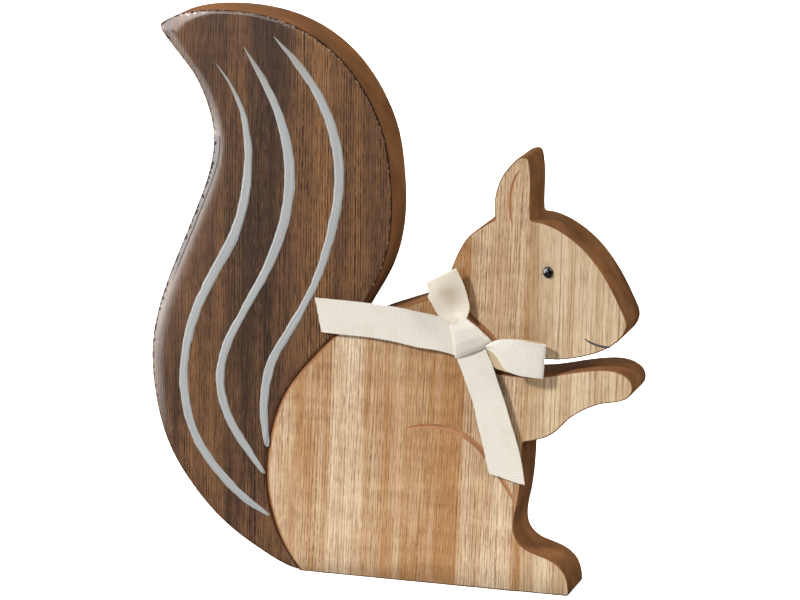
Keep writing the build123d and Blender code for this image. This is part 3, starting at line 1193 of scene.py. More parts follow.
@dataclass
class Tail:
    """The dark tail: its board, its thick gloss coat and three painted stripes.

    Attributes:
        depth: Thickness of the coat.
        wide_rim: Width of the coat's rounded rim on the left.
        rim: Width of the rim elsewhere, and along the glue joint.
        drop: How far the rim falls at the left edge.
        lip: Width of the tight round at the very edge.
        bead: Height of the small beads that the coat dried into along its edge.
        bead_place: Distance of the beads from the edge.
        bead_reach: How far a bead spreads to each side.
        bead_runs: Length of the beads, and of the stretches where they are higher or lower.
        tip_swell: How much wider the rim is at the tip.
        tip_reach: How far from the tip it is wider.
        joint_gap: Distance to the body within which the edge lies on the glue joint.
        spacing: Distance between spots along the coat's edge.
        rings: Distances from the edge of the rows of spots along the rim, in millimetres.
        grid: Distance between the spots inside.
        margin: Distance from the edge at which those start.
        far: Distance noted where the left edge isn't the nearest.
        dark_reflection_line: Width of the painted dark reflection line along the edge, and how much wider it
            is on the left.
        line_run: Length of that line's unevenness.
        chip_reach: Distance from the edge within which it is chipped.
        chip_run: Length of the chips.
        chip_from: How rare the chips are, below and above the worn top.
        worn_top: Height above which the edge is chipped more.
        stain: Stain of the board.
        dark: Wood under the coat.
        wall_and_dark_reflection: The coat's upright edge, also the painted dark reflection line along its
            front edge.
        chips: Small chips along its edge.
        outline: The coat's outline.
        widths: The rim's width along the outline.
        falls: The rim's fall along the outline.
        beads: Height of the beads along the outline.
        joint: Whether each side of the outline lies on the glue joint.
        stripes: The stripes' names, with their middle lines and widths in millimetres.
    """

    depth: float = 1.5 * MM
    wide_rim: float = 6.4 * MM
    rim: float = 0.9 * MM
    drop: float = 1.45 * MM
    lip: float = 0.45 * MM
    bead: float = 0.2 * MM
    bead_place: float = 0.45 * MM
    bead_reach: float = 0.4 * MM
    bead_runs: Spot = (0.75 * MM, 14 * MM)
    tip_swell: float = 3.0 * MM
    tip_reach: float = 12 * MM
    joint_gap: float = 0.4 * MM
    spacing: float = 0.4 * MM
    rings: Sequence[float] = (0.12, 0.3, 0.55, 0.85, 1.2, 1.7, 2.4, 3.2, 4.2, 5.4, 6.6)
    grid: float = 4 * MM
    margin: float = 8 * MM
    far: float = 50 * MM
    dark_reflection_line: Spot = (0.35 * MM, 0.75 * MM)
    line_run: float = 1.4 * MM
    chip_reach: float = 0.32 * MM
    chip_run: float = 0.7 * MM
    chip_from: Spot = (0.42, 0.24)
    worn_top: float = 170 * MM
    stain: StainedEdge = StainedEdge("tail_edge_stain", tone(132, 89, 54), tone(98, 64, 39))
    dark: CoatedWood = CoatedWood(
        "gloss_coat", tone(142, 101, 66), tone(68, 48, 37), tone(32, 22, 16), tone(24, 16, 12), 1.2,
        pitch=980.0, depth=1.0, curl=0.15, bands=(
            (-100, 0.6), (-92, 0.85), (-85, 0.6), (-79, 0.7), (-74, 0.85), (-62, 0.75), (-57, 0.25),
            (-52, 0.25), (-46, 0.15), (-41, 0.55), (-34, 0.4), (-28, 0.6), (-20, 0.5)))
    # Dark colour of the coat's upright edge, also laid as a painted dark reflection line along the edge.
    wall_and_dark_reflection: StainedEdge = StainedEdge("coat_wall_and_dark_reflection", tone(58, 40, 28), tone(36, 24, 17))
    chips: StainedEdge = StainedEdge("coat_chips", tone(178, 160, 142), tone(116, 92, 72))
    outline: Outline | None = None
    widths: np.ndarray | None = None
    falls: np.ndarray | None = None
    beads: np.ndarray | None = None
    joint: np.ndarray | None = None
    stripes: Sequence[tuple[str, Sequence[Triple]]] = (
        ("outer", (
            (-86, 196.4, 0.2), (-80.9, 189.6, 1.1), (-76.1, 180, 1.9), (-73.7, 167, 2.8), (-74.3, 150.5, 3.4),
            (-79.4, 131, 3.9), (-88, 115, 3.7), (-95.2, 100, 3.6), (-99.6, 84.5, 3.3), (-100.3, 67, 3.4),
            (-96.6, 51.8, 3.4), (-87.4, 37.8, 3.3), (-76.2, 27.2, 2.9), (-70.4, 23.5, 2.1),
            (-66.0, 21.1, 1.0))),
        ("middle", (
            (-74.8, 203.2, 0.2), (-69.3, 194.5, 2.2), (-63.6, 184, 2.9), (-59, 171, 3.6), (-57, 155.5, 4.2),
            (-59.2, 138, 4.0), (-66.5, 118.6, 3.5), (-76, 101, 3.0), (-83, 87.2, 3.2), (-85.8, 72.5, 3.3),
            (-82.2, 58.6, 3.2), (-75, 47, 2.9), (-70.9, 41.4, 2.3), (-67.8, 37.4, 1.1))),
        ("inner", (
            (-63, 207.9, 0.2), (-56.1, 200.7, 2.3), (-48.6, 191.3, 3.0), (-42.3, 180, 3.6), (-38.4, 167, 3.8),
            (-37.6, 151.5, 3.7), (-41, 133, 3.4), (-47.4, 114, 2.7), (-56, 97.6, 3.0), (-64.4, 83, 3.3),
            (-67.9, 68, 3.4), (-67.9, 59, 3.1), (-67.4, 53, 2.5), (-66.8, 48.2, 1.3))))

    def build(self, nodes: Nodes) -> list[Piece]:
        """Build and dress the tail.

        Args:
            nodes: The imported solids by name.

        Returns:
            The finished pieces.
        """
        stain = self.stain.make()
        board = Stave("tail_board", "tail_wood", "stained_wood", [stain] * len(BoardSlot), rear_only=True)
        self.measure(nodes)
        pieces = [board.build(nodes["tail_board"])]
        pieces.append(self.coat([self.dark.make(), self.wall_and_dark_reflection.make(), stain, self.chips.make()]))
        paint = StripePaint().make()
        for name, stations in self.stripes:
            stroke = Stroke(f"tail_stripe_{name}", f"stripe_{name}", "stripe_paint", stations)
            pieces.append(stroke.build(paint, self.level))
        return pieces

    def measure(self, nodes: Nodes) -> None:
        """Read the coat's outline, and how its rim falls along each side of it.

        Args:
            nodes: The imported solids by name.
        """
        self.outline = Outline.of_node(nodes["tail_coat"]).smoothed(self.spacing)
        points = self.outline.points
        body = Outline.of_node(nodes["body_board"], rear=True)
        self.joint = body.nearest(points)[0] < self.joint_gap
        aside, up = self.outline.outward().T
        left, right = np.clip(-aside, 0, 1), np.clip(aside, 0, 1)
        turned = np.clip(0.45 * up - 0.9 * aside, 0, 1) * np.clip((left - 0.05) / 0.35, 0, 1)
        widths = self.rim + (self.wide_rim - self.rim) * np.maximum(turned, 0.3 * left)
        tip = points[np.argmax(points @ np.array([-0.7, 0.7]))]
        near = np.exp(-(np.linalg.norm(points - tip, axis=1) / self.tip_reach) ** 2)
        self.widths = np.where(self.joint, self.rim, widths + near * self.tip_swell)
        falls = self.drop * (0.6 + 0.4 * left) * (1 - 0.92 * right ** 0.6)
        self.falls = np.where(self.joint, 0.35 * self.drop, falls)
        places = np.arange(len(points)) * self.spacing
        short, long = self.bead_runs
        runs = np.array([noise.noise((place / short, 0.4, 3.1)) for place in places])
        waves = np.array([noise.noise((place / long, 0.9, 1.7)) for place in places])
        free = np.where(self.joint, 0.1, 1.0)
        swell = np.clip(0.7 + 1.2 * waves, 0.1, 1.4) * (0.25 + 0.75 * (1 - right)) * free
        self.beads = self.bead * runs * swell

    def level(self, spots: np.ndarray) -> np.ndarray:
        """Depth of the coat's surface at front-view spots.

        Args:
            spots: The spots.

        Returns:
            The surface's y at each spot.
        """
        distance, which = self.outline.nearest(spots)
        share = np.clip(distance / self.widths[which], 0, 1)
        edge = np.clip(distance / self.lip, 0, 1)
        fall = self.falls[which]
        slope = 0.8 * fall * (1 - share) ** 2
        lip = 0.2 * fall * (1 - np.sqrt(1 - (1 - edge) ** 2))
        bead = self.beads[which] * np.exp(-((distance - self.bead_place) / self.bead_reach) ** 2)
        return FRONT + slope + lip - bead

    def spread(self) -> tuple[list[Triple], list[list[int]]]:
        """Cover the coat's front with triangles, fine along its rim and coarse inside.

        Returns:
            The points and the triangles.
        """
        edge = self.outline.points
        inward = -self.outline.outward()
        inward = unit(inward + np.roll(inward, 1, axis=0))
        spots = [edge]
        for step, ring in enumerate(self.rings):
            moved = (edge + inward * ring * MM)[::1 + step // 5 + step // 8]
            distance, _ = self.outline.nearest(moved)
            spots.append(moved[(distance > 0.93 * ring * MM) & self.outline.holds(moved)])
        low, high = edge.min(axis=0), edge.max(axis=0)
        columns, rows = (np.arange(start, end, self.grid) for start, end in zip(low, high))
        inner = np.stack([axis.ravel() for axis in np.meshgrid(columns, rows)], axis=1)
        distance, _ = self.outline.nearest(inner)
        spots.append(inner[(distance > self.margin) & self.outline.holds(inner)])
        flat = [Vector(spot) for spot in np.concatenate(spots) / MM]
        sides = [(index, (index + 1) % len(edge)) for index in range(len(edge))]
        corners, _, faces, *_ = geometry.delaunay_2d_cdt(flat, sides, [], 1, 1e-5)
        places = np.array([tuple(corner) for corner in corners]) * MM
        return [(x, y, z) for (x, z), y in zip(places, self.level(places))], faces

    def coat(self, materials: Sequence[Material]) -> Piece:
        """The gloss coat: flat in its middle, with a rim that rounds down all the way about.

        Args:
            materials: The coated wood, the upright edge and painted dark reflection line, the stain along the
                joint and the chips.

        Returns:
            The finished piece.
        """
        points, faces = self.spread()
        mesh = bpy.data.meshes.new("tail_gloss_coat")
        mesh.from_pydata(points, [], faces)
        piece = new_piece("tail_gloss_coat", mesh, materials)
        face_front(piece)
        with editing(piece):
            bpy.ops.mesh.select_mode(type="EDGE")
            bpy.ops.mesh.select_all(action="DESELECT")
            bpy.ops.mesh.select_non_manifold(extend=False, use_wire=False, use_multi_face=False,
                                             use_non_contiguous=False, use_verts=False)
            bpy.ops.mesh.extrude_edges_move(TRANSFORM_OT_translate={"value": (0, 0, 0)})
            sheet = bmesh.from_edit_mesh(mesh)
            for vertex in sheet.verts:
                if vertex.select:
                    vertex.co.y = FRONT + self.depth
            bmesh.update_edit_mesh(mesh)
            bpy.ops.mesh.edge_face_add()
            bpy.ops.mesh.select_all(action="SELECT")
            bpy.ops.mesh.normals_make_consistent(inside=False)
        self.sort_faces(mesh)
        bpy.ops.object.shade_smooth_by_angle(angle=math.radians(50))
        self.note_rim(mesh)
        hand_over(piece, "gloss_coat", "tail_coat")
        return piece

    def sort_faces(self, mesh: bpy.types.Mesh) -> None:
        """Give each face of the coat its finish, with an uneven painted dark reflection line and chips along
        the edge.

        Args:
            mesh: The coat's mesh.
        """
        centres = np.array([(polygon.center.x, polygon.center.z) for polygon in mesh.polygons])
        distance, which = self.outline.nearest(centres)
        least, more = self.dark_reflection_line
        reach = least + more * np.clip(-self.outline.outward()[which, 0], 0, 1)
        usual, rubbed = self.chip_from
        for polygon, apart, far, by_joint in zip(mesh.polygons, distance, reach, self.joint[which]):
            x, _, z = polygon.center
            worn = noise.noise((x / self.line_run, 0.2, z / self.line_run))
            chip = noise.noise((x / self.chip_run, 4.6, z / self.chip_run))
            chipped = apart < self.chip_reach and chip > (rubbed if z > self.worn_top else usual)
            slot = CoatSlot.WOOD
            if abs(polygon.normal.y) < 0.3:
                slot = CoatSlot.SEAM if by_joint else CoatSlot.WALL
            elif not by_joint and chipped:
                slot = CoatSlot.CHIP
            # Faces near the edge take the upright edge's dark colour as an uneven painted dark reflection
            # line.
            elif not by_joint and apart < far * (0.6 + 1.2 * worn):
                slot = CoatSlot.WALL
            polygon.material_index = slot.value

    def note_rim(self, mesh: bpy.types.Mesh) -> None:
        """Keep each corner's distance from the left edge and its height as the coat's own coordinates.

        Args:
            mesh: The coat's mesh.
        """
        spots = np.array([(vertex.co.x, vertex.co.z) for vertex in mesh.vertices])
        distance, which = self.outline.nearest(spots)
        apart = np.where(self.outline.outward()[which, 0] < -0.2, distance, self.far)
        corners = [loop.vertex_index for loop in mesh.loops]
        layer = mesh.uv_layers.new(name="rim")
        layer.data.foreach_set("uv", np.stack([apart, spots[:, 1]], axis=1)[corners].ravel())


@dataclass
class Face:
    """The eye and the mouth.

    Attributes:
        eye_spot: Middle of the eye on the wood.
        eye_size: Half its width, its height above the wood and half its height.
        sink: How far the bead goes into the wood.
        mouth: The mouth's stroke.
    """

    eye_spot: Triple = (43.9 * MM, FRONT, 125 * MM)
    eye_size: Triple = (2.0 * MM, 1.4 * MM, 2.2 * MM)
    sink: float = 0.1 * MM
    mouth: Stroke = Stroke(
        "mouth_line", "mouth_stroke", "mouth_ink", (
            (58.1, 100.7, 0.3), (59.2, 100.05, 0.65), (60.6, 99.4, 0.8), (62, 98.9, 0.85), (63.5, 98.5, 0.9),
            (65.5, 98.2, 0.9), (68.4, 98.1, 0.6)), 0.12 * MM, 0.06 * MM, 6)

    def build(self) -> list[Piece]:
        """Build and dress the eye and the mouth.

        Returns:
            The finished pieces.
        """
        mouth = self.mouth.build(MouthInk().make(), lambda spots: np.full(len(spots), FRONT))
        return [self.eye(BeadGloss().make()), mouth]

    def eye(self, material: Material) -> Piece:
        """The domed bead of the eye.

        Args:
            material: Its glossy black.

        Returns:
            The finished piece.
        """
        bpy.ops.object.select_all(action="DESELECT")
        bpy.ops.mesh.primitive_uv_sphere_add(segments=64, ring_count=32, radius=1.0, location=self.eye_spot)
        piece = bpy.context.active_object
        piece.name = "eye_dome"
        piece.data.name = "eye_dome"
        piece.scale = self.eye_size
        bpy.ops.object.transform_apply(location=True, rotation=True, scale=True)
        with editing(piece):
            bpy.ops.mesh.select_all(action="SELECT")
            bpy.ops.mesh.bisect(plane_co=(0, FRONT + self.sink, 0), plane_no=(0, 1, 0), use_fill=True,
                                clear_outer=True)
        bpy.ops.object.shade_smooth_by_angle(angle=math.radians(40))
        piece.data.materials.append(material)
        hand_over(piece, "eye_black", "eye_bead")
        return piece


@dataclass
class TapeStretch:
    """One stretch of the tape, from the places of its two edges at stations along it.

    Attributes:
        node: The solid that it stands for.
        piece: The piece's name.
        stations: Both edges as (x, z, height) and the rise of the middle, in millimetres.
        hold: How it is held; not used.
        rests: What it lies on; not used.
        closed: Whether it runs back into its own start.
        frayed: Whether its end is a cut edge.
        pleats: Number of lengthwise folds.
        pleat: Depth of those folds.
        pinched: Whether it is a loop, whose folds fade away from its start.
        reversed: Whether the tape wears a plainer, darker and warmer copy of its cloth as painted shade.
        width: Flat width of the tape.
        thickness: Thickness of the tape.
        pitch: Pitch of its cross ribs.
        rib: Height of the ribs.
        notch: How far the ribs stand out at the tape's edges.
        drift: How far the tape drifts off its smooth surface.
        sag: Length of that drift's waves.
        fray: How far a cut end is off its line.
        fade: Distance over which a loop's folds fade.
        turn: Share of a loop's faces after which they wear the painted shade of its inside.
        probe: Step for reading the tape's direction.
        columns: Faces across.
        rows: Faces along for each rib.
    """

    node: str
    piece: str
    stations: Sequence[tuple[float, ...]]
    hold: Hold
    rests: Sequence[str]
    closed: bool = False
    frayed: bool = False
    pleats: float = 0.0
    pleat: float = 0.0
    pinched: bool = False
    # Whether a darker, warmer copy of the cloth paints shade on this stretch.
    reversed: bool = False
    width: float = 12.8 * MM
    thickness: float = 0.42 * MM
    pitch: float = 0.87 * MM
    rib: float = 0.022 * MM
    notch: float = 0.07 * MM
    drift: float = 0.14 * MM
    sag: float = 11 * MM
    fray: float = 0.5 * MM
    fade: float = 5.5 * MM
    turn: float = 0.55
    probe: float = 0.15 * MM
    columns: int = 26
    rows: int = 4

    def shape(self) -> tuple[Surface, float]:
        """The stretch's middle surface.

        Returns:
            A function that gives points and the middle's rise from shares across and along,
            and the length.
        """
        table = np.array(self.stations, float) * MM
        if self.closed:
            table = np.concatenate([table, table[:1]])
        edges = np.stack([table[:, 0], FRONT - table[:, 2], table[:, 1],
                          table[:, 3], FRONT - table[:, 5], table[:, 4], table[:, 6]], axis=1)
        knots = chord_places((edges[:, 0:3] + edges[:, 3:6]) / 2)
        start, end = knots[0], knots[-1]
        if self.closed:
            edges = np.concatenate([edges[-3:-1], edges, edges[1:3]])
            knots = np.concatenate([knots[-3:-1] - end, knots, knots[1:3] + end])
        dense = np.linspace(start, end, 800)
        fine = smooth_run(edges, dense, knots)
        walk = chord_places((fine[:, 0:3] + fine[:, 3:6]) / 2)

        def surface(across: np.ndarray, along: np.ndarray) -> tuple[np.ndarray, np.ndarray]:
            """Points and the rise of the middle from shares across and along."""
            rows = smooth_run(edges, np.interp(np.clip(along, 0, 1) * walk[-1], walk, dense), knots)
            return rows[:, 0:3] * (1 - across)[:, None] + rows[:, 3:6] * across[:, None], rows[:, 6]

        return surface, walk[-1]

    def build(self, material: Material, inside: Material) -> Piece:
        """Args:
            material: The tape's cloth.
            inside: The darker copy of the cloth that paints shade on a loop's inside.

        Returns:
            The finished piece.
        """
        surface, length = self.shape()
        ribs = max(1, round(length / self.pitch))
        seed = sum(map(ord, self.piece)) % 89

        def place(across: np.ndarray, along: np.ndarray) -> np.ndarray:
            """Points of the cloth.

            Args:
                across: Shares across.
                along: Shares along.

            Returns:
                One point for each pair of shares.
            """
            if self.frayed:
                torn = np.array([noise.noise((share * 7, seed, 0.7)) for share in across])
                along = along + np.clip((along - 0.9) / 0.1, 0, 1) * torn * self.fray / length
            points, rise = surface(across, along)
            step = self.probe / length
            centre = np.clip(along, step, 1 - step)
            run = surface(across, centre + step)[0] - surface(across, centre - step)[0]
            inner = np.clip(across, 0.02, 0.98)
            side = surface(inner + 0.02, along)[0] - surface(inner - 0.02, along)[0]
            out = unit(np.cross(side, run))
            fold = self.pleat * np.sin(across * self.pleats * WHOLE_TURN)
            if self.pinched:
                fold = fold * np.exp(-(along * length / self.fade) ** 2)
            free = np.sin(math.pi * np.clip(along, 0, 1)) ** 0.5 if self.closed else 1.0
            loose = free * np.array([noise.noise((a * 2.2 + seed, b * length / self.sag, 0.1))
                                     for a, b in zip(across, along)])
            weave = np.cos(WHOLE_TURN * along * ribs)
            lift = rise * 4 * across * (1 - across) + fold + self.rib * weave + loose * self.drift
            ends = np.clip((np.abs(across - 0.5) - 0.44) / 0.06, 0, 1) * np.sign(across - 0.5)
            return points + out * lift[:, None] + unit(side) * (ends * weave * self.notch)[:, None]

        piece = woven_grid(self.piece, self.columns, ribs * self.rows, self.width, length, place)
        mesh = piece.data
        mesh.materials.append(material)
        mesh.materials.append(inside)
        # The back part of a loop wears the darker copy of the cloth as painted shade on its inside.
        for polygon in mesh.polygons:
            polygon.material_index = int(self.pinched and polygon.index > self.turn * len(mesh.polygons))
        if self.closed:
            with editing(piece):
                bpy.ops.mesh.select_all(action="SELECT")
                bpy.ops.mesh.remove_doubles(threshold=0.005 * MM)
        thicken(piece, self.thickness, 0.0)
        hand_over(piece, "cream_tape", self.node)
        LOG.info("%s: flat %.1f by %.1f mm", self.piece, self.width / MM, length / MM)
        return piece


@dataclass
class KnotWrap(TapeStretch):
    """The turn of tape that makes the knot, wrapped about the pinched middle of the bow.

    Attributes:
        foot: Front-view spot at the knot's lower edge, in millimetres.
        run: The tape's direction in the front view.
        breadth: Width of the wrapped tape, in millimetres.
        limits: Share across, and the wrap's reach to the left and right along the run, in millimetres.
        middle: Which of the limits gives the wrap's flat length.
        rear: Height of the wrap's rear in front of the board, in millimetres.
        front: Share across, and the height of the wrap's front there, in millimetres.
        fullness: How square the wrap's section is.
    """

    foot: Spot = (11.6, 91.2)
    run: Spot = (0.91, 0.415)
    breadth: float = 12.6
    limits: Sequence[Triple] = (
        (0.0, -2.6, 11.2), (0.08, -2.6, 12.9), (0.2, -2.0, 12.5), (0.34, -1.2, 11.7), (0.5, -0.6, 10.9),
        (0.67, 0.0, 9.9), (0.82, 0.4, 8.7), (1.0, 0.8, 7.4))
    middle: int = 3
    rear: float = 1.5
    front: Sequence[Spot] = ((0.0, 2.95), (0.12, 3.9), (0.4, 5.1), (0.75, 5.4), (1.0, 4.8))
    fullness: float = 2.6

    def shape(self) -> tuple[Surface, float]:
        """The wrap's middle surface.

        Returns:
            A function that gives points and the middle's rise from shares across and along,
            and the length.
        """
        shares, lefts, rights = np.array(self.limits, float).T
        steps, tops = np.array(self.front, float).T

        def rounded(values: np.ndarray) -> np.ndarray:
            """A wave with its flanks pushed out, for a squarer section."""
            return np.sign(values) * np.abs(values) ** (2 / self.fullness)

        def ring(angles: np.ndarray) -> tuple[np.ndarray, np.ndarray]:
            """Shares along the run and of the height at angles from the middle of the rear."""
            return rounded(np.cos(angles - math.pi / 2)), rounded(np.sin(angles - math.pi / 2))

        turns = np.linspace(0, WHOLE_TURN, 721)
        reach = (rights[self.middle] - lefts[self.middle]) / 2
        wide_round, high_round = ring(turns)
        walk = chord_places(np.stack([wide_round * reach, high_round * (tops.max() - self.rear) / 2], axis=1))

        def surface(across: np.ndarray, along: np.ndarray) -> tuple[np.ndarray, np.ndarray]:
            """Points of the wrap.

            Args:
                across: Shares across.
                along: Shares along.

            Returns:
                The points, and the rise of the middle.
            """
            wide, high = ring(np.interp(along * walk[-1], walk, turns))
            left, right = np.interp(across, shares, lefts), np.interp(across, shares, rights)
            runs = (left + right) / 2 + wide * (right - left) / 2
            x = self.foot[0] + self.run[0] * runs - self.run[1] * across * self.breadth
            z = self.foot[1] + self.run[1] * runs + self.run[0] * across * self.breadth
            top = np.interp(across, steps, tops)
            y = FRONT / MM - (top + self.rear) / 2 - high * (top - self.rear) / 2
            return np.stack([x, y, z], axis=1) * MM, np.zeros_like(across)

        return surface, walk[-1] * MM


@dataclass
class Bow:
    """The tape tied round the neck: its band, knot, two loops and two loose ends.

    Attributes:
        stretches: The two ends, the two loops and the knot.
        cloth: The tape's face.
        painted_shade_cloth: A darker, warmer copy of the cloth as painted shade on the upper loop, with a
            shaded spot.
        inside: A darker, warmer copy of the cloth as painted shade inside a loop.
        run: The neck band's direction in the front view.
        band_width: Width of the gathered band.
        band_shift: How far the band lies off the middle of its solid.
        band_bend: Radius of the band's corners.
        tuck: How far the band lies inside its solid's ends.
        slack: How far it lies off its solid's rear.
    """

    stretches: Sequence[TapeStretch] = field(default_factory=lambda: [
        TapeStretch("ribbon_left_tail", "bow_left_end", [
            (8.5, 104.0, 1.6, 9.8, 90.5, 1.6, 0.0),
            (5.0, 104.9, 1.6, 6.4, 91.5, 1.7, 0.1),
            (0.9, 105.7, 1.7, 2.3, 92.3, 1.8, 0.3),
            (-6.0, 106.7, 1.8, -6.0, 93.0, 1.9, 0.2),
            (-15.0, 107.8, 1.6, -15.0, 94.4, 1.8, 0.1),
            (-25.0, 108.4, 1.4, -25.0, 95.3, 1.5, 0.0),
            (-35.0, 108.7, 1.2, -35.0, 95.5, 1.3, 0.0),
            (-46.9, 108.9, 1.0, -44.3, 95.8, 1.1, 0.0),
        ], Hold.LAID, ["body_board", "tail_coat"], frayed=True),
        TapeStretch("ribbon_lower_tail", "bow_lower_end", [
            (9.4, 92.4, 2.0, 20.3, 96.4, 2.0, 0.0),
            (9.5, 90.3, 2.2, 20.9, 94.2, 2.2, 0.2),
            (10.9, 86.6, 2.3, 22.9, 89.6, 2.3, 0.3),
            (13.0, 81.1, 2.4, 25.3, 82.9, 2.4, 0.2),
            (15.8, 73.6, 2.4, 27.8, 75.8, 2.4, 0.1),
            (17.6, 65.6, 2.3, 30.1, 68.2, 2.3, 0.0),
            (19.5, 58.1, 2.0, 32.5, 60.2, 2.0, 0.0),
            (21.1, 49.8, 1.5, 34.6, 51.6, 1.5, 0.0),
            (22.0, 45.9, 1.2, 35.9, 42.4, 1.0, 0.0),
        ], Hold.LAID, ["body_board"], frayed=True),
        TapeStretch("ribbon_right_loop", "bow_right_loop", [
            (21.5, 96.1, 3.9, 21.5, 95.0, 3.9, 0.0),
            (23.4, 97.6, 4.7, 23.5, 94.4, 4.8, 0.3),
            (26.4, 99.1, 5.4, 26.4, 92.2, 5.7, 0.4),
            (30.2, 99.8, 5.8, 29.0, 88.6, 6.3, 0.3),
            (35.2, 99.7, 6.0, 33.6, 86.6, 6.2, 0.1),
            (40.0, 99.0, 5.5, 39.0, 85.8, 5.6, 0.0),
            (44.3, 98.1, 3.7, 43.2, 85.3, 3.8, 0.0),
            (42.6, 98.1, 2.1, 41.6, 85.2, 2.1, 0.0),
            (37.0, 98.7, 1.4, 35.5, 85.9, 1.5, 0.0),
            (30.0, 98.8, 1.3, 27.5, 86.4, 1.6, 0.0),
            (25.4, 98.0, 1.7, 23.4, 88.4, 1.9, 0.0),
            (22.8, 96.6, 2.4, 22.0, 92.4, 2.4, 0.0),
            (21.3, 95.9, 2.8, 21.2, 94.7, 2.8, 0.0),
        ], Hold.FOLDED, ["body_board", "muzzle_stave"], pleats=1.0, pleat=0.35 * MM, pinched=True),
        TapeStretch("ribbon_upper_loop", "bow_upper_loop", [
            (7.4, 103.4, 4.2, 12.9, 104.9, 3.6, -0.3),
            (5.0, 105.2, 5.2, 13.6, 106.4, 2.9, -0.8),
            (3.4, 107.0, 6.0, 14.1, 108.2, 2.5, -1.6),
            (1.7, 110.2, 6.6, 14.2, 110.6, 2.3, -1.8),
            (0.3, 113.6, 6.4, 13.4, 114.6, 2.5, -1.2),
            (-0.9, 116.4, 5.6, 11.9, 119.6, 3.1, -0.3),
            (-1.9, 118.8, 4.2, 9.4, 124.9, 3.8, 0.0),
            (-0.9, 117.6, 2.8, 10.2, 121.6, 2.2, 0.0),
            (1.0, 113.4, 2.3, 12.0, 116.2, 1.2, 0.0),
            (2.8, 109.2, 2.3, 12.6, 111.4, 1.0, 0.0),
            (5.4, 105.8, 2.4, 12.8, 107.4, 1.3, 0.0),
            (8.0, 103.4, 2.8, 12.4, 104.8, 2.4, 0.0),
        ], Hold.FOLDED, ["body_board"], pleats=1.5, pleat=0.5 * MM, pinched=True, reversed=True),
        KnotWrap("ribbon_knot", "bow_knot", [], Hold.FOLDED, ["ribbon_neck_band"], closed=True),
    ])
    cloth: TapeCloth = TapeCloth()
    # A darker, warmer copy of the cloth paints shade on the upper loop, with a spot of painted shade where it
    # dips.
    painted_shade_cloth: TapeCloth = TapeCloth("cream_tape_painted_shade", tone(210, 201, 185), tone(190, 172, 146), depth=0.6,
                                   painted_shade_spot=(7.2 * MM, 11.5 * MM, 6.5 * MM))
    # A darker, warmer copy of the cloth paints shade inside the loops.
    inside: TapeCloth = TapeCloth("cream_tape_inside_painted_shade", tone(196, 174, 140), tone(176, 146, 106), depth=0.5)
    run: Spot = (22.2, -24.1)
    band_width: float = 6.4 * MM
    band_shift: float = -1.4 * MM
    band_bend: float = 1.2 * MM
    tuck: float = 0.25 * MM
    slack: float = 0.3 * MM

    def build(self, nodes: Nodes) -> list[Piece]:
        """Build and dress the bow.

        Args:
            nodes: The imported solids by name.

        Returns:
            The finished pieces.
        """
        cloth, painted_shade_cloth, inside = self.cloth.make(), self.painted_shade_cloth.make(), self.inside.make()
        stretches = [*self.stretches, self.neck_band(nodes["ribbon_neck_band"])]
        return [stretch.build(painted_shade_cloth if stretch.reversed else cloth, inside) for stretch in stretches]

    def neck_path(self, half: float, deep: float) -> list[Spot]:
        """The band's way round the neck, as a rectangle with round corners.

        Args:
            half: Half its length along the run.
            deep: Half its depth.

        Returns:
            Places along the run and in depth.
        """
        bend = self.band_bend
        path = []
        for run_side, depth_side, start in ((1, -1, -90), (1, 1, 0), (-1, 1, 90), (-1, -1, 180)):
            for degrees in (0, 45, 90):
                angle = math.radians(start + degrees)
                path.append((run_side * (half - bend) + bend * math.cos(angle),
                             depth_side * (deep - bend) + bend * math.sin(angle)))
            run, depth = path[-1]
            lengthwise = run_side == depth_side
            steps = 4 if lengthwise else 3
            for share in (1 - 2 * step / steps for step in range(1, steps)):
                path.append((run * share, depth) if lengthwise else (run, depth * share))
        return path

    def neck_band(self, solid: Piece) -> TapeStretch:
        """The gathered band round the neck, along the path of its solid.

        Args:
            solid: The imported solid.

        Returns:
            The band, ready to build.
        """
        points = np.array([tuple(vertex.co) for vertex in solid.data.vertices])
        along = np.array([self.run[0], 0, self.run[1]]) / math.hypot(*self.run)
        across = np.array([-along[2], 0, along[0]])
        runs, sides = points @ along, points @ across
        middle = along * (runs.max() + runs.min()) / 2 + across * (sides.max() + sides.min()) / 2
        half = (runs.max() - runs.min()) / 2 - self.tuck
        stations = []
        for run, depth in self.neck_path(half, points[:, 1].max() + self.slack):
            spot = middle + along * run + across * self.band_shift
            edges = (spot - across * self.band_width / 2, spot + across * self.band_width / 2)
            height = (FRONT - depth) / MM
            lower, upper = ((edge[0] / MM, edge[2] / MM, height) for edge in edges)
            stations.append((*lower, *upper, 0.0))
        return TapeStretch("ribbon_neck_band", "bow_neck_band", stations, Hold.GATHERED, ["body_board"],
                           closed=True, pleats=3.5, pleat=0.5 * MM)


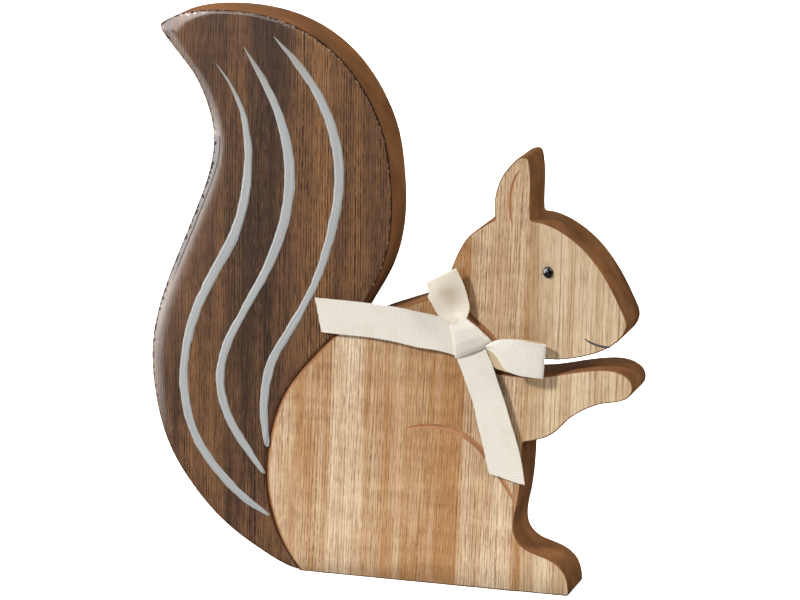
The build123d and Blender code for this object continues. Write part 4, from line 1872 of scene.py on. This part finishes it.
@dataclass
class Studio:
    """Floor, soft light and camera.

    Attributes:
        target: What the camera looks at.
        azimuth: Degrees that the camera stands to the right of the front.
        elevation: Degrees that it looks down.
        distance: Its distance from the target.
        lens: Focal length in millimetres.
        sensor: Width of the sensor in millimetres.
        left_cards: Azimuths and widths of the cards at the left, which overlap to a soft edge.
        low_cards: Right and front ends of the cards on the floor, which overlap to a soft edge.
        low_corner: Left and rear ends of the cards on the floor.
        world: Strength of the light from all around.
    """

    target: Vector = field(default_factory=lambda: Vector((-13.56 * MM, -10 * MM, 110.24 * MM)))
    azimuth: float = 17.48
    elevation: float = 13.78
    distance: float = 1515.2 * MM
    lens: float = 181.7
    sensor: float = 36.0
    left_cards: Sequence[Spot] = ((-68, 1.05), (-71, 0.94), (-74, 0.83))
    low_cards: Sequence[Spot] = ((-0.30, -0.55), (-0.26, -0.36), (-0.22, -0.25))
    low_corner: Spot = (-0.85, 0.05)
    world: float = 0.13

    def build(self) -> None:
        """Set up the floor, the lights, the world and the camera."""
        floor = self.floor()
        self.lamp("key_light", self.spot(-46, 34, 4.5), self.target, (0.58, 0.58), 236)
        self.floor_light(floor)
        self.lamp("right_fill", self.spot(75, 36, 1.8), self.target, (0.9, 0.9), 24)
        behind = self.lamp("back_light", self.spot(190, 14, 2.2), self.target, (1.2, 1.2), 44)
        low = Vector((0.03, -0.116, 0.001))
        below = self.lamp("table_glow", low, Vector((low.x, low.y, 1.0)), (0.42, 0.2), 0.28)
        for lamp in (behind, below):
            lamp.visible_glossy = False
        self.cards()
        world = bpy.data.worlds.new("studio_world")
        world.use_nodes = True
        background = world.node_tree.nodes["Background"]
        background.inputs["Color"].default_value = WHITE
        background.inputs["Strength"].default_value = self.world
        bpy.context.scene.world = world
        bpy.context.scene.view_settings.view_transform = "Standard"
        self.camera()

    def spot(self, azimuth: float, elevation: float, distance: float) -> Vector:
        """A place around the target.

        Args:
            azimuth: Degrees to the right of the front.
            elevation: Degrees above the target.
            distance: Distance from it.

        Returns:
            The place.
        """
        side, up = math.radians(azimuth), math.radians(elevation)
        way = Vector((math.sin(side) * math.cos(up), -math.cos(side) * math.cos(up), math.sin(up)))
        return self.target + way * distance

    def floor(self) -> Piece:
        """Lay the pale floor.

        Returns:
            The floor.
        """
        bpy.ops.object.select_all(action="DESELECT")
        bpy.ops.mesh.primitive_plane_add(size=30.0, location=(0, 0, 0))
        floor = bpy.context.active_object
        floor.name = "studio_floor"
        with editing(floor):
            bpy.ops.mesh.subdivide(number_cuts=4)
        floor.data.materials.append(PaleFloor().make())
        floor.visible_diffuse = False
        floor.visible_glossy = False
        return floor

    def floor_light(self, floor: Piece) -> None:
        """Hang a light that keeps the floor evenly white, with no effect on the ornament.

        Args:
            floor: The floor.
        """
        ground = bpy.data.collections.new("lit_floor")
        ground.objects.link(floor)
        above = self.lamp("floor_light", Vector((0.0, 0.0, 1.6)), Vector((0.0, 0.0, 0.0)), (6.4, 6.4), 120)
        above.data.spread = math.radians(24)
        above.data.use_shadow = False
        above.light_linking.receiver_collection = ground

    def lamp(self, name: str, place: Vector, aim: Vector, size: Spot, power: float) -> Piece:
        """Hang a soft light.

        Args:
            name: Its name.
            place: Where it hangs.
            aim: What it faces.
            size: Its width and height.
            power: Power in watts.

        Returns:
            The light.
        """
        data = bpy.data.lights.new(name, "AREA")
        data.shape = "RECTANGLE"
        data.size, data.size_y = size
        data.energy = power
        lamp = bpy.data.objects.new(name, data)
        lamp.visible_camera = False
        self.hang(lamp, place, aim)
        return lamp

    def hang(self, thing: Piece, place: Vector, aim: Vector) -> None:
        """Put a light or camera in its place and turn it to what it faces.

        Args:
            thing: The light or camera.
            place: Its place.
            aim: What it faces.
        """
        thing.location = place
        thing.rotation_euler = (aim - place).to_track_quat("-Z", "Y").to_euler()
        bpy.context.scene.collection.objects.link(thing)

    def cards(self) -> None:
        """Set up white cards that only show in glossy surfaces."""
        for layer, (azimuth, width) in enumerate(self.left_cards):
            self.card(f"left_card_{layer}", self.spot(azimuth, 12, 0.75), self.target, (width, 0.65), 5)
        left, rear = self.low_corner
        for layer, (right, front) in enumerate(self.low_cards):
            middle = Vector(((right + left) / 2, (front + rear) / 2, 0.003))
            size = (right - left, rear - front)
            self.card(f"low_card_{layer}", middle, middle + Vector((0, 0, 1)), size, 4)
        self.card("high_card", self.spot(-27, 18, 0.9), self.target, (0.35, 0.45), 9)
        self.card("top_card", Vector((-0.3, -0.3, 1.0)), Vector((-0.3, -0.3, 0.0)), (0.9, 0.7), 5)

    def card(self, name: str, place: Vector, aim: Vector, size: Spot, glow: float) -> None:
        """Set up one card.

        Args:
            name: Its name.
            place: Where it stands.
            aim: What it faces.
            size: Its width and height.
            glow: Its brightness.
        """
        lamp = self.lamp(name, place, aim, size, glow * math.pi * size[0] * size[1])
        lamp.visible_diffuse = False

    def camera(self) -> None:
        """Set up the camera."""
        data = bpy.data.cameras.new("photo_camera")
        data.lens = self.lens
        data.sensor_width = self.sensor
        data.sensor_fit = "HORIZONTAL"
        camera = bpy.data.objects.new("photo_camera", data)
        self.hang(camera, self.spot(self.azimuth, self.elevation, self.distance), self.target)
        bpy.context.scene.camera = camera


def dress_dowels(nodes: Nodes) -> None:
    """Give the hidden dowels their wood.

    Args:
        nodes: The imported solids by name.
    """
    colours = tone(214, 180, 140), tone(196, 158, 116), tone(168, 126, 86), tone(140, 100, 66)
    wood = SawnWood("dowel_wood", *colours, 70.0).make()
    for name in ("tail_dowel_1", "tail_dowel_2"):
        nodes[name].data.materials.clear()
        nodes[name].data.materials.append(wood)
        LOG.info("%s keeps its solid, in plain dowel wood", name)


def main() -> None:
    """Build the ornament in order and report each piece."""
    logging.basicConfig(level=logging.INFO, format="%(name)s: %(message)s")
    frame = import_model()
    bpy.ops.object.select_all(action="DESELECT")
    nodes = frame["nodes"]
    Studio().build()
    pieces = LightPanel().build(nodes)
    pieces += Tail().build(nodes)
    pieces += Face().build()
    pieces += Bow().build(nodes)
    dress_dowels(nodes)
    LOG.info("%d pieces built", len(pieces))
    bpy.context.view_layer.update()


if __name__ == "__main__":
    main()
